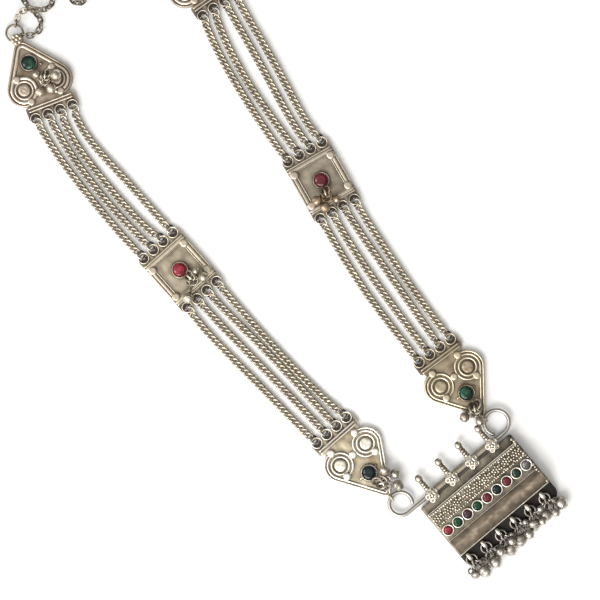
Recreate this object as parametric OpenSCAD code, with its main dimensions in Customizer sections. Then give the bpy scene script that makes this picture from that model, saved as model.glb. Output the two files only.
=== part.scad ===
// Long village silver necklace, lying flat on its back with +Z up. Millimetres.
// A box amulet hangs by a wire from two heart plaques. Each side then climbs through four curb
// chains to a square plaque, four more to a drop plaque, and one link chain goes round the neck.

/* [Curb chains] */
// Width of one curb chain
curb_w = 3.6; // [3.2:0.1:3.8]
// Height of one curb chain as it lies
curb_h = 2.2; // [1.8:0.1:2.4]

/* [Plaques] */
// Height of a plaque's plate above the surface it lies on
plate_h = 2.0; // [1.8:0.1:2.2]
// Height that the border wires stand above the plate
border_h = 0.6; // [0.4:0.1:0.8]
// Distance between neighbouring eyelets
eyelet_pitch = 6.5; // [6.4:0.1:7]
// Length of a square plaque between its two rows of eyelets
square_l = 32.8; // [31:0.2:35]
// Radius of a plaque's stone
stone_r = 3.5; // [3.2:0.1:3.7]

/* [Amulet] */
// Width of the amulet box
box_w = 58.2; // [57:0.2:60]
// Radius of the small round stones on the amulet
amulet_stone_r = 2.2; // [2:0.1:2.3]
// Thickness of the wire that the amulet hangs on
hanger_d = 1.6; // [1.4:0.1:1.7]

/* [Bells] */
// Radius of a large bell
bell_r = 2.8; // [2.6:0.1:2.8]
// Radius of a small bell
small_bell_r = 2.1; // [1.9:0.1:2.1]

/* [Neck chain] */
// Wire thickness of the neck chain's links
link_d = 0.75; // [0.65:0.05:0.75]

/* [Hidden] */
$fn = 48;

// The middle of the whole necklace, which is moved to the origin
lay_mid = [15.4, 50.5];

// Where each plaque lies: x, y and its turn. A heart or drop is placed by its row of eyelets and
// points to -Y before its turn. A square is placed by its middle.
heart_left_at = [-29.7, -59.9, 1.5];
heart_right_at = [35.3, -62.6, -3.2];
square_left_at = [-36.2, 50.0, 1.8];
square_right_at = [46.5, 39.0, -10.4];
drop_left_at = [-33.6, 150.9, 161];
drop_right_at = [63.8, 139.1, 175];

// How far each plaque reaches from its eyelets to its tip, and how far the drops lean to one side
// for each millimetre of that reach
heart_left_reach = 43.5;
heart_right_reach = 40.5;
drop_reach = 38.5;
drop_lean = 0.11;

silver = "#b3a993";
dark_silver = "#7f7666";
glass = "#5a2430";

// How deep a soldered piece is sunk into the metal that carries it
solder = 0.3;
// How far a tool that cuts right through runs past the metal
past = 1;

// Plain geometry

function turned(p, a) = [p.x * cos(a) - p.y * sin(a), p.x * sin(a) + p.y * cos(a)];
function placed(at, p) = [at.x, at.y] + turned(p, at.z);
function heading(p, q) = atan2(q.y - p.y, q.x - p.x);

module laid() translate([-lay_mid.x, -lay_mid.y, 0]) children();

module laid_at(at) laid() translate([at.x, at.y, 0]) rotate(at.z) children();

module ring(mid_r, wire_r) rotate_extrude() translate([mid_r, 0]) circle(wire_r);

module tube(outer_r, inner_r, h) difference() {
    cylinder(h = h, r = outer_r);
    translate([0, 0, -past]) cylinder(h = h + 2 * past, r = inner_r);
}

// A flattened ball of metal, soldered on
module shot(r, h) {
    cylinder(h = h * 0.6, r = r);
    translate([0, 0, h * 0.6]) cylinder(h = h * 0.4, r1 = r, r2 = r * 0.6);
}

// A low dome, cut from a ball
module dome(r, h) {
    ball_r = (r * r + h * h) / (2 * h);
    rotate_extrude() intersection() {
        translate([0, h - ball_r]) circle(ball_r, $fn = 96);
        square([r, h]);
    }
}

// Eyelets and jump rings

eyelet_r = 2.5;
eyelet_wire_r = 0.5;
strip_z = 1.55;
strip_h = 0.8;
jump_r = 2.0;
jump_wire_r = 0.4;
jump_tilt = 33;
// Distance from an eyelet's centre to its jump ring's centre, and to where the chain begins
jump_out = 2.3;
chain_start = 4.9;
// How far the strip between the eyelets runs past the last eyelets' centres
strip_past = 2.2;

function eyelet_x(k) = (k - 1.5) * eyelet_pitch;

// A row of four eyelets with their soldered strip, the row along X and the plaque on the +Y side
module eyelet_row(depth) {
    difference() {
        translate([eyelet_x(0) - strip_past, 0, strip_z - strip_h / 2])
            cube([3 * eyelet_pitch + 2 * strip_past, depth, strip_h]);
        for (k = [0:3]) translate([eyelet_x(k), 0, 0]) cylinder(h = 2 * strip_z, r = eyelet_r - 0.2);
    }
    for (k = [0:3]) translate([eyelet_x(k), 0, strip_z]) ring(eyelet_r, eyelet_wire_r);
}

// The jump ring of the eyelet at p, leaning over and leading towards q
module jump_ring(p, q) {
    out = turned([jump_out, 0], heading(p, q));
    translate([p.x + out.x, p.y + out.y, strip_z])
        rotate(heading(p, q)) rotate([jump_tilt, 0, 0]) ring(jump_r, jump_wire_r);
}

// Drop and heart plaques. The eyelets are along y = 0 and the tip is at y = -reach.

lobe_x = 8.4;
lobe_r = 8.4;
// The border is two wires side by side, each this wide, with this gap between them
border_w = 0.9;
border_gap = 0.5;
border_solder = 0.2;
// The straight edges run this far inside the circles that they join, so that they cross them
edge_in = 0.03;
// The plate's back is hollow inside a rim
recess = 0.6;
rim_w = 1.1;
// The corners below the eyelets: how far past the outer eyelets' centres, and how far down
corner_past = 2;
corner_down = 5.5;
// The two bars below the eyelets, on a strip that runs down this far
drop_strip_l = 6.5;
bar_w = 1;
bar_h = 1.5;
bars_down = [4.0, 5.6];
// The ring and the dome on each lobe
lobe_ring_r = 4.4;
lobe_ring_wire_r = 0.5;
dome_r = 3.1;
dome_h = 1.1;
// The flattened balls
shot_r = 2.0;
shot_h = 1.6;

function leaned(p, lean) = [p.x - p.y * lean, p.y];

// Points where the straight edge between two circles touches them, on the outer side
function edge_angle(a, ra, b, rb, side) = heading(a, b) + side * acos((ra - rb) / norm(b - a));

module drop_outline(reach, lobe_y, tip_r, lean, inset) {
    tip = leaned([0, -reach + tip_r], lean);
    lobes = [for (s = [-1, 1]) leaned([s * lobe_x, -lobe_y], lean)];
    r = lobe_r - inset;
    edges = [for (s = [0, 1]) edge_angle(lobes[s], lobe_r, tip, tip_r, s == 0 ? -1 : 1)];
    for (lobe = lobes) translate(lobe) circle(r);
    translate(tip) circle(tip_r - inset);
    polygon([
        lobes[0], lobes[0] + turned([r - edge_in, 0], edges[0]),
        tip + turned([tip_r - inset - edge_in, 0], edges[0]),
        tip + turned([tip_r - inset - edge_in, 0], edges[1]),
        lobes[1] + turned([r - edge_in, 0], edges[1]), lobes[1],
        [eyelet_x(3) + corner_past - inset, -corner_down - inset],
        [eyelet_x(0) - corner_past + inset, -corner_down - inset]
    ]);
}

module drop_plaque(reach, lobe_y, tip_r, stone_y, lean) {
    difference() {
        linear_extrude(plate_h) drop_outline(reach, lobe_y, tip_r, lean, 0);
        translate([0, 0, -past]) linear_extrude(recess + past)
            drop_outline(reach, lobe_y, tip_r, lean, rim_w);
    }
    for (k = [0, 1]) {
        inset = k * (border_w + border_gap);
        translate([0, 0, plate_h - border_solder]) linear_extrude(border_h + border_solder) difference() {
            drop_outline(reach, lobe_y, tip_r, lean, inset);
            drop_outline(reach, lobe_y, tip_r, lean, inset + border_w);
        }
    }
    rotate(180) eyelet_row(drop_strip_l);
    for (y = bars_down)
        translate([eyelet_x(0) - corner_past, -y - bar_w / 2, strip_z - strip_h / 2])
            cube([2 * (eyelet_x(3) + corner_past), bar_w, bar_h]);
    for (s = [-1, 1]) translate(leaned([s * lobe_x, -lobe_y], lean)) translate([0, 0, plate_h]) {
        ring(lobe_ring_r, lobe_ring_wire_r);
        dome(dome_r, dome_h);
    }
    for (p = [[-7.8, -8.6], [7.8, -8.6], [-9.4, -lobe_y - 6.2], [9.4, -lobe_y - 6.2]])
        translate(leaned(p, lean)) translate([0, 0, plate_h - solder]) shot(shot_r, shot_h);
    translate(leaned([0, -stone_y], lean)) translate([0, 0, plate_h - solder]) bezel();
}

// The rim round a plaque's stone. The hole takes the stone with a little room.
bezel_w = 0.9;
bezel_h = 2.1;
stone_room = 0.12;
// Height of the gap below a stone
stone_gap = 0.1;
// Radius of a stone's table for each millimetre of its own
table_share = 0.58;

module bezel() tube(stone_r + bezel_w, stone_r + stone_room, bezel_h);

module plaque_stone(p) translate([p.x, p.y, plate_h + stone_gap]) cut_stone(stone_r, 1.2, 1.1);

// A round stone with ten sides, a girdle and a table
module cut_stone(r, girdle, crown) color(glass) {
    cylinder(h = girdle, r = r, $fn = 10);
    translate([0, 0, girdle]) cylinder(h = crown, r1 = r, r2 = r * table_share, $fn = 10);
}

// Hearts: the tip carries an upright loop that hangs in the hanger wire

hang_z = 2.6;
tip_loop_r = 1.9;
tip_loop_wire_r = 0.45;
tip_loop_out = 1.3;
heart_lobe_y = 16.2;
heart_tip_r = 2.5;

function heart_stone_y(reach) = reach * 0.65;

module heart(at, reach, staple) laid_at(at) {
    drop_plaque(reach, heart_lobe_y, heart_tip_r, heart_stone_y(reach), 0);
    translate([0, -heart_lobe_y, plate_h - solder]) shot(shot_r, shot_h);
    translate([0, -reach - tip_loop_out, hang_z]) rotate([0, 90, 0]) ring(tip_loop_r, tip_loop_wire_r);
    bell_staple(staple);
}

module heart_left() color(silver) heart(heart_left_at, heart_left_reach, bells_heart_left_at);
module heart_right() color(silver) heart(heart_right_at, heart_right_reach, bells_heart_right_at);

// Drops: the tip carries a bored lug under a rosette, which holds the end ring of the neck chain

drop_lobe_y = 15.2;
drop_tip_r = 4.2;
drop_stone_y = 27.2;
end_ring_r = 4.2;
end_ring_wire_r = 0.55;
lug_r = 2.9;
lug_y = drop_reach + 1.6;
end_ring_y = lug_y + end_ring_r - 0.6;
end_ring_z = 1.75;
lug_bore_r = 1.3;

module drop(at, staple) laid_at(at) {
    drop_plaque(drop_reach, drop_lobe_y, drop_tip_r, drop_stone_y, drop_lean);
    difference() {
        translate(leaned([0, -lug_y], drop_lean)) rosette_lug(0.2, 4.2);
        translate(leaned([0, -lug_y], drop_lean)) translate([0, 0, end_ring_z])
            rotate([0, 90, 0]) cylinder(h = 12, r = lug_bore_r, center = true);
    }
    bell_staple(staple);
}

module drop_left() color(silver) drop(drop_left_at, bells_drop_at);
module drop_right() color(silver) drop(drop_right_at, bells_drop_at);

// A flower of seven ball grains: one in the middle and six round it, at a distance
module flower(middle_r, grain_r, out) {
    sphere(middle_r, $fn = 24);
    for (a = [0:60:300]) rotate(a) translate([out, 0, 0]) sphere(grain_r, $fn = 24);
}

// A short post with a flower of grains on its top
module rosette_lug(z0, z1) {
    translate([0, 0, z0]) cylinder(h = z1 - z0, r = lug_r);
    translate([0, 0, z1]) flower(1.0, 0.85, 1.95);
}

module end_ring(at) color(dark_silver) laid_at(at)
    translate([lug_y * drop_lean, -end_ring_y, end_ring_z]) ring(end_ring_r, end_ring_wire_r);

module end_ring_left() end_ring(drop_left_at);
module end_ring_right() end_ring(drop_right_at);

// Squares, placed by their middle

square_w = 25.8;
corner_x = 10.4;
corner_y = 8.7;
corner_shot_r = 2.2;
// The middle of the outer bar at each end, and how far in the second bar and rail lie
bar_y = 12.0;
bar_step = 1.5;
plate_past = 1.2;

module square_plaque(at, staple) laid_at(at) {
    difference() {
        translate([-square_w / 2, -bar_y - plate_past, 0])
            cube([square_w, 2 * (bar_y + plate_past), plate_h]);
        translate([rim_w - square_w / 2, rim_w - bar_y - plate_past, -past])
            cube([square_w - 2 * rim_w, 2 * (bar_y + plate_past - rim_w), recess + past]);
    }
    for (s = [-1, 1]) {
        translate([0, s * square_l / 2, 0]) rotate(s > 0 ? 180 : 0) eyelet_row(square_l / 2 - bar_y);
        for (k = [0, 1]) translate([0, 0, plate_h - border_solder]) {
            translate([-square_w / 2, s * (bar_y - k * bar_step) - bar_w / 2, 0])
                cube([square_w, bar_w, border_h + border_solder]);
            translate([s * (square_w / 2 - bar_w / 2 - k * bar_step) - bar_w / 2, -bar_y, 0])
                cube([bar_w, 2 * bar_y, border_h + border_solder]);
        }
        for (t = [-1, 1])
            translate([s * corner_x, t * corner_y, plate_h - solder]) shot(corner_shot_r, shot_h);
    }
    translate([0, 0, plate_h - solder]) bezel();
    bell_staple(staple);
}

module square_left() color(silver) square_plaque(square_left_at, bells_square_left_at);
module square_right() color(silver) square_plaque(square_right_at, bells_square_right_at);

// Stones of the plaques

module stone_heart_left() laid_at(heart_left_at) plaque_stone([0, -heart_stone_y(heart_left_reach)]);
module stone_heart_right() laid_at(heart_right_at) plaque_stone([0, -heart_stone_y(heart_right_reach)]);
module stone_square_left() laid_at(square_left_at) plaque_stone([0, 0]);
module stone_square_right() laid_at(square_right_at) plaque_stone([0, 0]);
module stone_drop_left() laid_at(drop_left_at) plaque_stone(leaned([0, -drop_stone_y], drop_lean));
module stone_drop_right() laid_at(drop_right_at) plaque_stone(leaned([0, -drop_stone_y], drop_lean));

// The eight rows of eyelets, as the middle of the row and its turn, with k running towards +X

function drop_row(at) = [at.x, at.y, at.z - 180];
function square_row(at, side) = [placed(at, [0, side * square_l / 2]).x,
    placed(at, [0, side * square_l / 2]).y, at.z];
function eyelet(row, k) = placed(row, [eyelet_x(k), 0]);

upper_left = [drop_row(drop_left_at), square_row(square_left_at, 1)];
upper_right = [drop_row(drop_right_at), square_row(square_right_at, 1)];
lower_left = [square_row(square_left_at, -1), heart_left_at];
lower_right = [square_row(square_right_at, -1), heart_right_at];

// from and to are 0 or 1: which end of the run the rings hold
module ring_row(run, from) color(dark_silver) laid()
    for (k = [0:3]) jump_ring(eyelet(run[from], k), eyelet(run[1 - from], k));

module rings_drop_left() ring_row(upper_left, 0);
module rings_square_left_top() ring_row(upper_left, 1);
module rings_drop_right() ring_row(upper_right, 0);
module rings_square_right_top() ring_row(upper_right, 1);
module rings_square_left_foot() ring_row(lower_left, 0);
module rings_heart_left() ring_row(lower_left, 1);
module rings_square_right_foot() ring_row(lower_right, 0);
module rings_heart_right() ring_row(lower_right, 1);

// Curb chains, each a flattened tube swept between two jump rings.
// Columns: how far the chain lies to the +X side of the straight line between its eyelets at a
// quarter, half and three quarters of its way down.
sway_upper_left = [[-2.6, -2.8, -2.0], [-3.2, -3.9, -2.8], [-4.6, -4.9, -3.8], [-4.0, -2.9, -1.5]];
sway_upper_right = [[-2.6, -2.8, -1.9], [-3.4, -3.8, -2.3], [-0.3, -0.7, -1.2], [-0.5, -0.7, -1.5]];
sway_lower_left = [[-1.5, -1.1, -0.8], [-0.5, -0.2, 0], [-0.2, 0.3, 0.1], [-1.4, -2.0, -1.9]];
sway_lower_right = [[-1.5, -2.1, -1.3], [-1.5, -1.7, -1.1], [-0.6, -0.4, -0.2], [-1.2, -1.5, -1.2]];

curb_sides = 10;
curb_spans = 8;

// The sway at any way t from 0 to 1, as the curve of degree four through the five known points
function swayed(s, t) =
    s[0] * t * (t - 0.5) * (t - 0.75) * (t - 1) / (0.25 * -0.25 * -0.5 * -0.75)
    + s[1] * t * (t - 0.25) * (t - 0.75) * (t - 1) / (0.5 * 0.25 * -0.25 * -0.5)
    + s[2] * t * (t - 0.25) * (t - 0.5) * (t - 1) / (0.75 * 0.5 * 0.25 * -0.25);

function curb_point(p, q, s, t) = p + (q - p) * t + turned([0, swayed(s, t)], heading(p, q));

// One flattened ring of points round the chain's middle line, resting on z = 0
function curb_section(c, a) = [for (i = [0:curb_sides - 1])
    let (b = 360 * (i + 0.5) / curb_sides, w = turned([0, curb_w / 2 * cos(b)], a))
        [c.x + w.x, c.y + w.y, curb_h / 2 * (1 + sin(b))]];

module curb(run, sways, k) color(silver) laid() {
    p = eyelet(run[0], k);
    q = eyelet(run[1], k);
    margin = chain_start / norm(q - p);
    ways = [for (i = [0:curb_spans]) margin + (1 - 2 * margin) * i / curb_spans];
    middles = [for (t = ways) curb_point(p, q, sways[k], t)];
    n = curb_sides;
    last = curb_spans;
    points = [for (i = [0:last])
        each curb_section(middles[i], heading(middles[max(0, i - 1)], middles[min(last, i + 1)]))];
    walls = [for (i = [0:last - 1], j = [0:n - 1])
        [i * n + j, (i + 1) * n + j, (i + 1) * n + (j + 1) % n, i * n + (j + 1) % n]];
    polyhedron(points, concat(
        [[for (j = [0:n - 1]) j]], walls, [[for (j = [0:n - 1]) last * n + n - 1 - j]]));
}

// Bells, each a ball with a loop, hung on a ring that lies in the plaque's or the box's staple

carrier_r = 2.3;
carrier_wire_r = 0.45;
staple_r = 1.8;
staple_wire_r = 0.5;
bell_loop_r = 1.05;
bell_loop_wire_r = 0.3;
cluster_z = plate_h + 2.1;

// A bell pointing to -Y from its loop, sunk a little into the ball
module bell(r, stem) {
    rotate([0, 90, 0]) ring(bell_loop_r, bell_loop_wire_r);
    translate([0, -bell_loop_r - stem - r + 0.35, 0]) sphere(r);
    if (stem > 0)
        translate([0, -bell_loop_r, 0]) rotate([90, 0, 0]) cylinder(h = stem + 0.5, r = 0.4);
}

// Each bell of a cluster hangs at angle from the ring's middle, and droops below the ring's plane
module hung_bell(ring_r, angle, droop, r, stem)
    rotate(angle + 90) translate([0, -ring_r, 0]) rotate([droop, 0, 0]) bell(r, stem);

// Where the carrier rings of the plaques lie on them: x, y, and the direction of the staple
bells_heart_left_at = [3.9, -37.2, 158];
bells_heart_right_at = [-2.7, -37.1, 63];
bells_square_left_at = [1.5, -8.4, 100];
bells_square_right_at = [-1.8, -8.8, 80];
bells_drop_at = [-1.4, -16.1, -117];

module bell_staple(at)
    translate([at.x, at.y, cluster_z]) rotate(at.z) translate([carrier_r, 0, 0])
        rotate([90, 0, 0]) ring(staple_r, staple_wire_r);

// Columns of bells: angle, droop, radius, stem
module bell_cluster(plaque_at, at, bells) color(silver) laid_at(plaque_at)
    translate([at.x, at.y, cluster_z]) {
        ring(carrier_r, carrier_wire_r);
        for (b = bells) hung_bell(carrier_r, b[0], b[1], b[2], b[3]);
    }

module bells_heart_left() bell_cluster(heart_left_at, bells_heart_left_at,
    [[56, -28, 2.3, 0.2], [0, -5, 2.1, 0.2], [-62, -10, bell_r, 0.2]]);
module bells_heart_right() bell_cluster(heart_right_at, bells_heart_right_at,
    [[162, -4, 2.5, 0.2], [-95, -48, 2.3, 0]]);
module bells_square_left() bell_cluster(square_left_at, bells_square_left_at,
    [[-23, -31, 2.5, 0.2], [-147, -16, bell_r, 3.6], [35, -10, 1.9, 0.2]]);
module bells_square_right() bell_cluster(square_right_at, bells_square_right_at,
    [[170, -25, 2.5, 0.2], [-128, -30, 2.5, 0.2], [-41, -26, small_bell_r, 0.2]]);
drop_bells = [[181, -32, bell_r, 1], [108, -25, 2.6, 0.2], [48, -17, 2.5, 1], [-55, -10, 1.9, 0.2]];
module bells_drop_left() bell_cluster(drop_left_at, bells_drop_at, drop_bells);
module bells_drop_right() bell_cluster(drop_right_at, bells_drop_at, drop_bells);

// The amulet box, drawn with its top edge along y = 0 and its middle at x = 0

box_at = [8.2, -118.5, 0];
box_l = 39.5;
face_z = 6.4;
// How far the ridges stand above the face, and how wide they are
ridge_h = 0.6;
ridge_w = 0.8;
ledge_z = 4.6;
ledge_l = 4.2;
frieze_y = 8.9;
stones_y = 16.5;
bulge_y = 21.6;
bulge_l = 8.2;
bulge_rise = 1.8;
apron_y = bulge_y + bulge_l + ridge_w;
apron_z = 5.2;
foot_z = 2.0;
apron_slope = atan2(apron_z - foot_z, box_l - apron_y);
amulet_pitch = 6.31;
rosette_pitch = 12.9;
rosette_y = -1.6;
staple_pitch = 9.45;
staple_y = 33.4;
staples = 6;

// The side view of the box, drawn with its length along X and its height along Y
module box_side() {
    bulge_r = (bulge_l * bulge_l / 4 + bulge_rise * bulge_rise) / (2 * bulge_rise);
    polygon([
        [0, 0], [0, ledge_z], [ledge_l, ledge_z], [ledge_l, face_z + ridge_h],
        [ledge_l + ridge_w, face_z + ridge_h], [ledge_l + ridge_w, face_z],
        [bulge_y - ridge_w, face_z], [bulge_y - ridge_w, face_z + ridge_h],
        [bulge_y, face_z + ridge_h], [bulge_y, face_z - ridge_h], [bulge_y + bulge_l, face_z - ridge_h],
        [bulge_y + bulge_l, face_z + 0.2], [apron_y, face_z + 0.2], [apron_y, apron_z],
        [box_l, foot_z], [box_l, 0]
    ]);
    intersection() {
        translate([bulge_y + bulge_l / 2, face_z + bulge_rise - bulge_r - 0.3]) circle(bulge_r, $fn = 96);
        translate([bulge_y, face_z - 1.2]) square([bulge_l, 4]);
    }
}

// A beaded spike with a ball on its end, pointing to +Y
spike_l = 8.2;
spike_core_r = 0.7;
spike_beads = [1.7, 3.3, 4.9, 6.5];
bead_r = 1.05;
spike_ball_r = 1.8;

module spike() {
    rotate([-90, 0, 0]) cylinder(h = spike_l - solder * 2, r = spike_core_r);
    for (y = spike_beads) translate([0, y, 0]) sphere(bead_r);
    translate([0, spike_l, 0]) sphere(spike_ball_r);
}

rosette_x = -0.8;
staple_x = -2.1;
staple_z = apron_z - (staple_y - apron_y) * tan(apron_slope) + 1.3;
spike_z = 3.9;

function row_x(shift, pitch, count, i) = shift + (i - (count - 1) / 2) * pitch;

module amulet_box() color(silver) laid_at(box_at) {
    translate([box_w / 2, 0, 0]) rotate([90, 0, -90]) linear_extrude(box_w) box_side();
    for (i = [0:8]) {
        translate([row_x(0, amulet_pitch, 9, i), -stones_y, face_z - border_solder])
            tube(amulet_stone_r + 0.75, amulet_stone_r + stone_gap, 1.6);
        translate([row_x(0, amulet_pitch, 9, i), -frieze_y, face_z]) flower(0.95, 0.75, 1.8);
    }
    difference() {
        for (i = [0:3]) translate([row_x(rosette_x, rosette_pitch, 4, i), -rosette_y, 0])
            rosette_lug(0.4, 5.2);
        translate([0, hanger_y - box_at.y, hang_z]) rotate([0, 90, 0])
            cylinder(h = box_w, r = hanger_d / 2 + 0.3, center = true);
    }
    for (i = [0:3]) translate([row_x(rosette_x, rosette_pitch, 4, i), 4.1, spike_z]) spike();
    for (i = [0:staples - 1]) translate([row_x(staple_x, staple_pitch, staples, i), -staple_y, staple_z])
        rotate([0, 90, 0]) ring(staple_r, staple_wire_r);
}

// Stones of the amulet, from the left. They sit on the face, inside their rims.
module amulet_stone(i) laid_at(box_at)
    translate([row_x(0, amulet_pitch, 9, i), -stones_y, face_z + stone_gap])
        cut_stone(amulet_stone_r, 0.8, 0.8);

module stone_amulet_1() amulet_stone(0);
module stone_amulet_2() amulet_stone(1);
module stone_amulet_3() amulet_stone(2);
module stone_amulet_4() amulet_stone(3);
module stone_amulet_5() amulet_stone(4);
module stone_amulet_6() amulet_stone(5);
module stone_amulet_7() amulet_stone(6);
module stone_amulet_8() amulet_stone(7);
module stone_amulet_9() amulet_stone(8);

// One ring in each staple carries a large bell to one side and a small one to the other
amulet_ring_r = 2.7;
amulet_ring_tilt = 12;

module amulet_bells() color(silver) laid_at(box_at)
    for (i = [0:staples - 1])
        translate([row_x(staple_x, staple_pitch, staples, i), -staple_y, staple_z])
            rotate([amulet_ring_tilt, 0, 0]) translate([0, -amulet_ring_r, 0]) {
                ring(amulet_ring_r, carrier_wire_r);
                hung_bell(amulet_ring_r, -70, 0, bell_r, 0.3);
                hung_bell(amulet_ring_r, -107, 10, small_bell_r, 2.9);
            }

// The hanger wire: a rod through the lugs, bent round into an open loop at each end

hanger_y = -116.0;
hanger_left = [-26.8, -110.2];
hanger_right = [35.9, -109.8];
hanger_turn = 313;

module hanger_wire() color(silver) laid() translate([0, 0, hang_z]) {
    translate([hanger_left.x, hanger_y, 0]) rotate([0, 90, 0])
        cylinder(h = hanger_right.x - hanger_left.x, r = hanger_d / 2);
    translate(hanger_left) rotate(270 - hanger_turn) rotate_extrude(angle = hanger_turn)
        translate([hanger_left.y - hanger_y, 0]) circle(hanger_d / 2);
    translate(hanger_right) rotate(270) rotate_extrude(angle = hanger_turn)
        translate([hanger_right.y - hanger_y, 0]) circle(hanger_d / 2);
}

// Neck chain: oval links along a route. Neighbouring links stand at right angles to each other.

link_side = 1.35;
link_straight = 0.6;
link_pitch = 2.85;
// How far inside a ring's wire the first link begins, so that it holds the wire
link_hold = 0.6;

module link() {
    for (s = [0, 1]) mirror([s, 0, 0]) translate([link_straight, 0, 0])
        rotate(-90) rotate_extrude(angle = 180) translate([link_side, 0]) circle(link_d / 2, $fn = 24);
    for (s = [-1, 1]) translate([-link_straight, s * link_side, 0]) rotate([0, 90, 0])
        cylinder(h = 2 * link_straight, r = link_d / 2, $fn = 24);
}

// A smooth curve through the route's points, in short straight steps
function bend(a, b, c, d, t) = 0.5 * (2 * b + (c - a) * t + (2 * a - 5 * b + 4 * c - d) * t * t
    + (3 * b - a - 3 * c + d) * t * t * t);
function smooth(p) = [for (i = [0:len(p) - 2], j = [0:7])
    bend(p[max(0, i - 1)], p[i], p[i + 1], p[min(len(p) - 1, i + 2)], j / 8), p[len(p) - 1]];
function lengths(p) = [for (i = 0, s = 0; i < len(p);
    s = s + (i + 1 < len(p) ? norm(p[i + 1] - p[i]) : 0), i = i + 1) s];
function on_route(p, s, d) = [for (axis = [0:2]) lookup(d, [for (i = [0:len(p) - 1]) [s[i], p[i][axis]]])];
// An odd number of links, so that both end links stand upright
function link_count(length) = 2 * round((length / link_pitch - 1) / 2) + 1;

// How far the links lean over along the run, and over how many links they take up that lean
link_lean = 45;
lean_links = 5;

// The links from one part of a route to another. The end links stand upright, the others lean, and
// each rests on z = 0 plus the route's own height there.
module links(route, first_part, last_part) {
    p = smooth(route);
    s = lengths(p);
    whole = s[len(s) - 1];
    n = link_count(whole);
    for (k = [round(n * first_part):round(n * last_part) - 1]) {
        a = on_route(p, s, k * whole / n);
        b = on_route(p, s, (k + 1) * whole / n);
        d = b - a;
        lean = link_lean * min(1, k / lean_links, (n - 1 - k) / lean_links);
        rest = link_side * cos(lean) + link_d / 2 + 0.05;
        translate((a + b) / 2 + [0, 0, rest])
            rotate([0, -atan2(d.z, norm([d.x, d.y])), atan2(d.y, d.x)])
            rotate([90 * ((k + 1) % 2) + lean, 0, 0]) link();
    }
}

function end_ring_mid(at) = placed(at, [lug_y * drop_lean, -end_ring_y]);
function ring_hold(at, a) = concat(end_ring_mid(at) + turned([end_ring_r - link_hold, 0], a), 0);

// The whole neck, from the left end ring through the half hitch and round to the right end ring.
// Columns of both routes: x, y, and the height above the surface that the links would rest on.
neck_route = concat(
    [ring_hold(drop_left_at, -46)],
    [
        [-19.5, 188.7, 0], [-17.2, 187, 0], [-14.4, 186.7, 0], [-11.6, 187.6, 0], [-9.7, 189.8, 0],
        [-9, 192.4, 0], [-9.2, 195.3, 0], [-9.6, 198.1, 0], [-9.8, 201, 0], [-9, 206, 0],
        [-7, 213, 0], [-4, 223, 0], [-1, 235, 0], [5, 248, 0], [14, 258, 0], [26, 263.6, 0],
        [38, 262.6, 0], [49, 255, 0], [57, 244, 0], [62, 230, 0], [64, 215, 0], [64, 200, 0]
    ],
    [ring_hold(drop_right_at, 88)]);

// The free end, which crosses over the neck chain and lies beside it
tail_route = concat(
    [ring_hold(drop_left_at, 42)],
    [
        [-18.7, 197.9, 0.7], [-16, 199, 2.4], [-13, 198.8, 3.9], [-10, 197.4, 4.2], [-7.4, 195.2, 3.2],
        [-4.8, 193.2, 1], [-1.9, 192.4, 0], [0.9, 193.6, 0], [3.5, 195.6, 0], [6.4, 196, 0],
        [8.8, 194.2, 0], [9.6, 191.2, 0], [9, 188.4, 0], [9.4, 185.6, 0], [11.8, 183.8, 0],
        [14.8, 184.4, 0], [16.8, 186.8, 0], [18, 189.8, 0], [19.2, 192.8, 0], [20.6, 195.6, 0]
    ]);

tail_ring_r = 2.4;
tail_ring_at = [21.3, 197.2];

module neck_chain_left() color(dark_silver) laid() links(neck_route, 0, 0.5);
module neck_chain_right() color(dark_silver) laid() links(neck_route, 0.5, 1);
module tail_chain() color(dark_silver) laid() {
    links(tail_route, 0, 1);
    translate([tail_ring_at.x, tail_ring_at.y, end_ring_z]) ring(tail_ring_r, end_ring_wire_r);
}

module curb_upper_left_1() curb(upper_left, sway_upper_left, 0);
module curb_upper_left_2() curb(upper_left, sway_upper_left, 1);
module curb_upper_left_3() curb(upper_left, sway_upper_left, 2);
module curb_upper_left_4() curb(upper_left, sway_upper_left, 3);
module curb_upper_right_1() curb(upper_right, sway_upper_right, 0);
module curb_upper_right_2() curb(upper_right, sway_upper_right, 1);
module curb_upper_right_3() curb(upper_right, sway_upper_right, 2);
module curb_upper_right_4() curb(upper_right, sway_upper_right, 3);
module curb_lower_left_1() curb(lower_left, sway_lower_left, 0);
module curb_lower_left_2() curb(lower_left, sway_lower_left, 1);
module curb_lower_left_3() curb(lower_left, sway_lower_left, 2);
module curb_lower_left_4() curb(lower_left, sway_lower_left, 3);
module curb_lower_right_1() curb(lower_right, sway_lower_right, 0);
module curb_lower_right_2() curb(lower_right, sway_lower_right, 1);
module curb_lower_right_3() curb(lower_right, sway_lower_right, 2);
module curb_lower_right_4() curb(lower_right, sway_lower_right, 3);

heart_left();
heart_right();
square_left();
square_right();
drop_left();
drop_right();
stone_heart_left();
stone_heart_right();
stone_square_left();
stone_square_right();
stone_drop_left();
stone_drop_right();
rings_heart_left();
rings_heart_right();
rings_square_left_top();
rings_square_left_foot();
rings_square_right_top();
rings_square_right_foot();
rings_drop_left();
rings_drop_right();
curb_upper_left_1();
curb_upper_left_2();
curb_upper_left_3();
curb_upper_left_4();
curb_upper_right_1();
curb_upper_right_2();
curb_upper_right_3();
curb_upper_right_4();
curb_lower_left_1();
curb_lower_left_2();
curb_lower_left_3();
curb_lower_left_4();
curb_lower_right_1();
curb_lower_right_2();
curb_lower_right_3();
curb_lower_right_4();
bells_heart_left();
bells_heart_right();
bells_square_left();
bells_square_right();
bells_drop_left();
bells_drop_right();
amulet_box();
hanger_wire();
amulet_bells();
stone_amulet_1();
stone_amulet_2();
stone_amulet_3();
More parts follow.
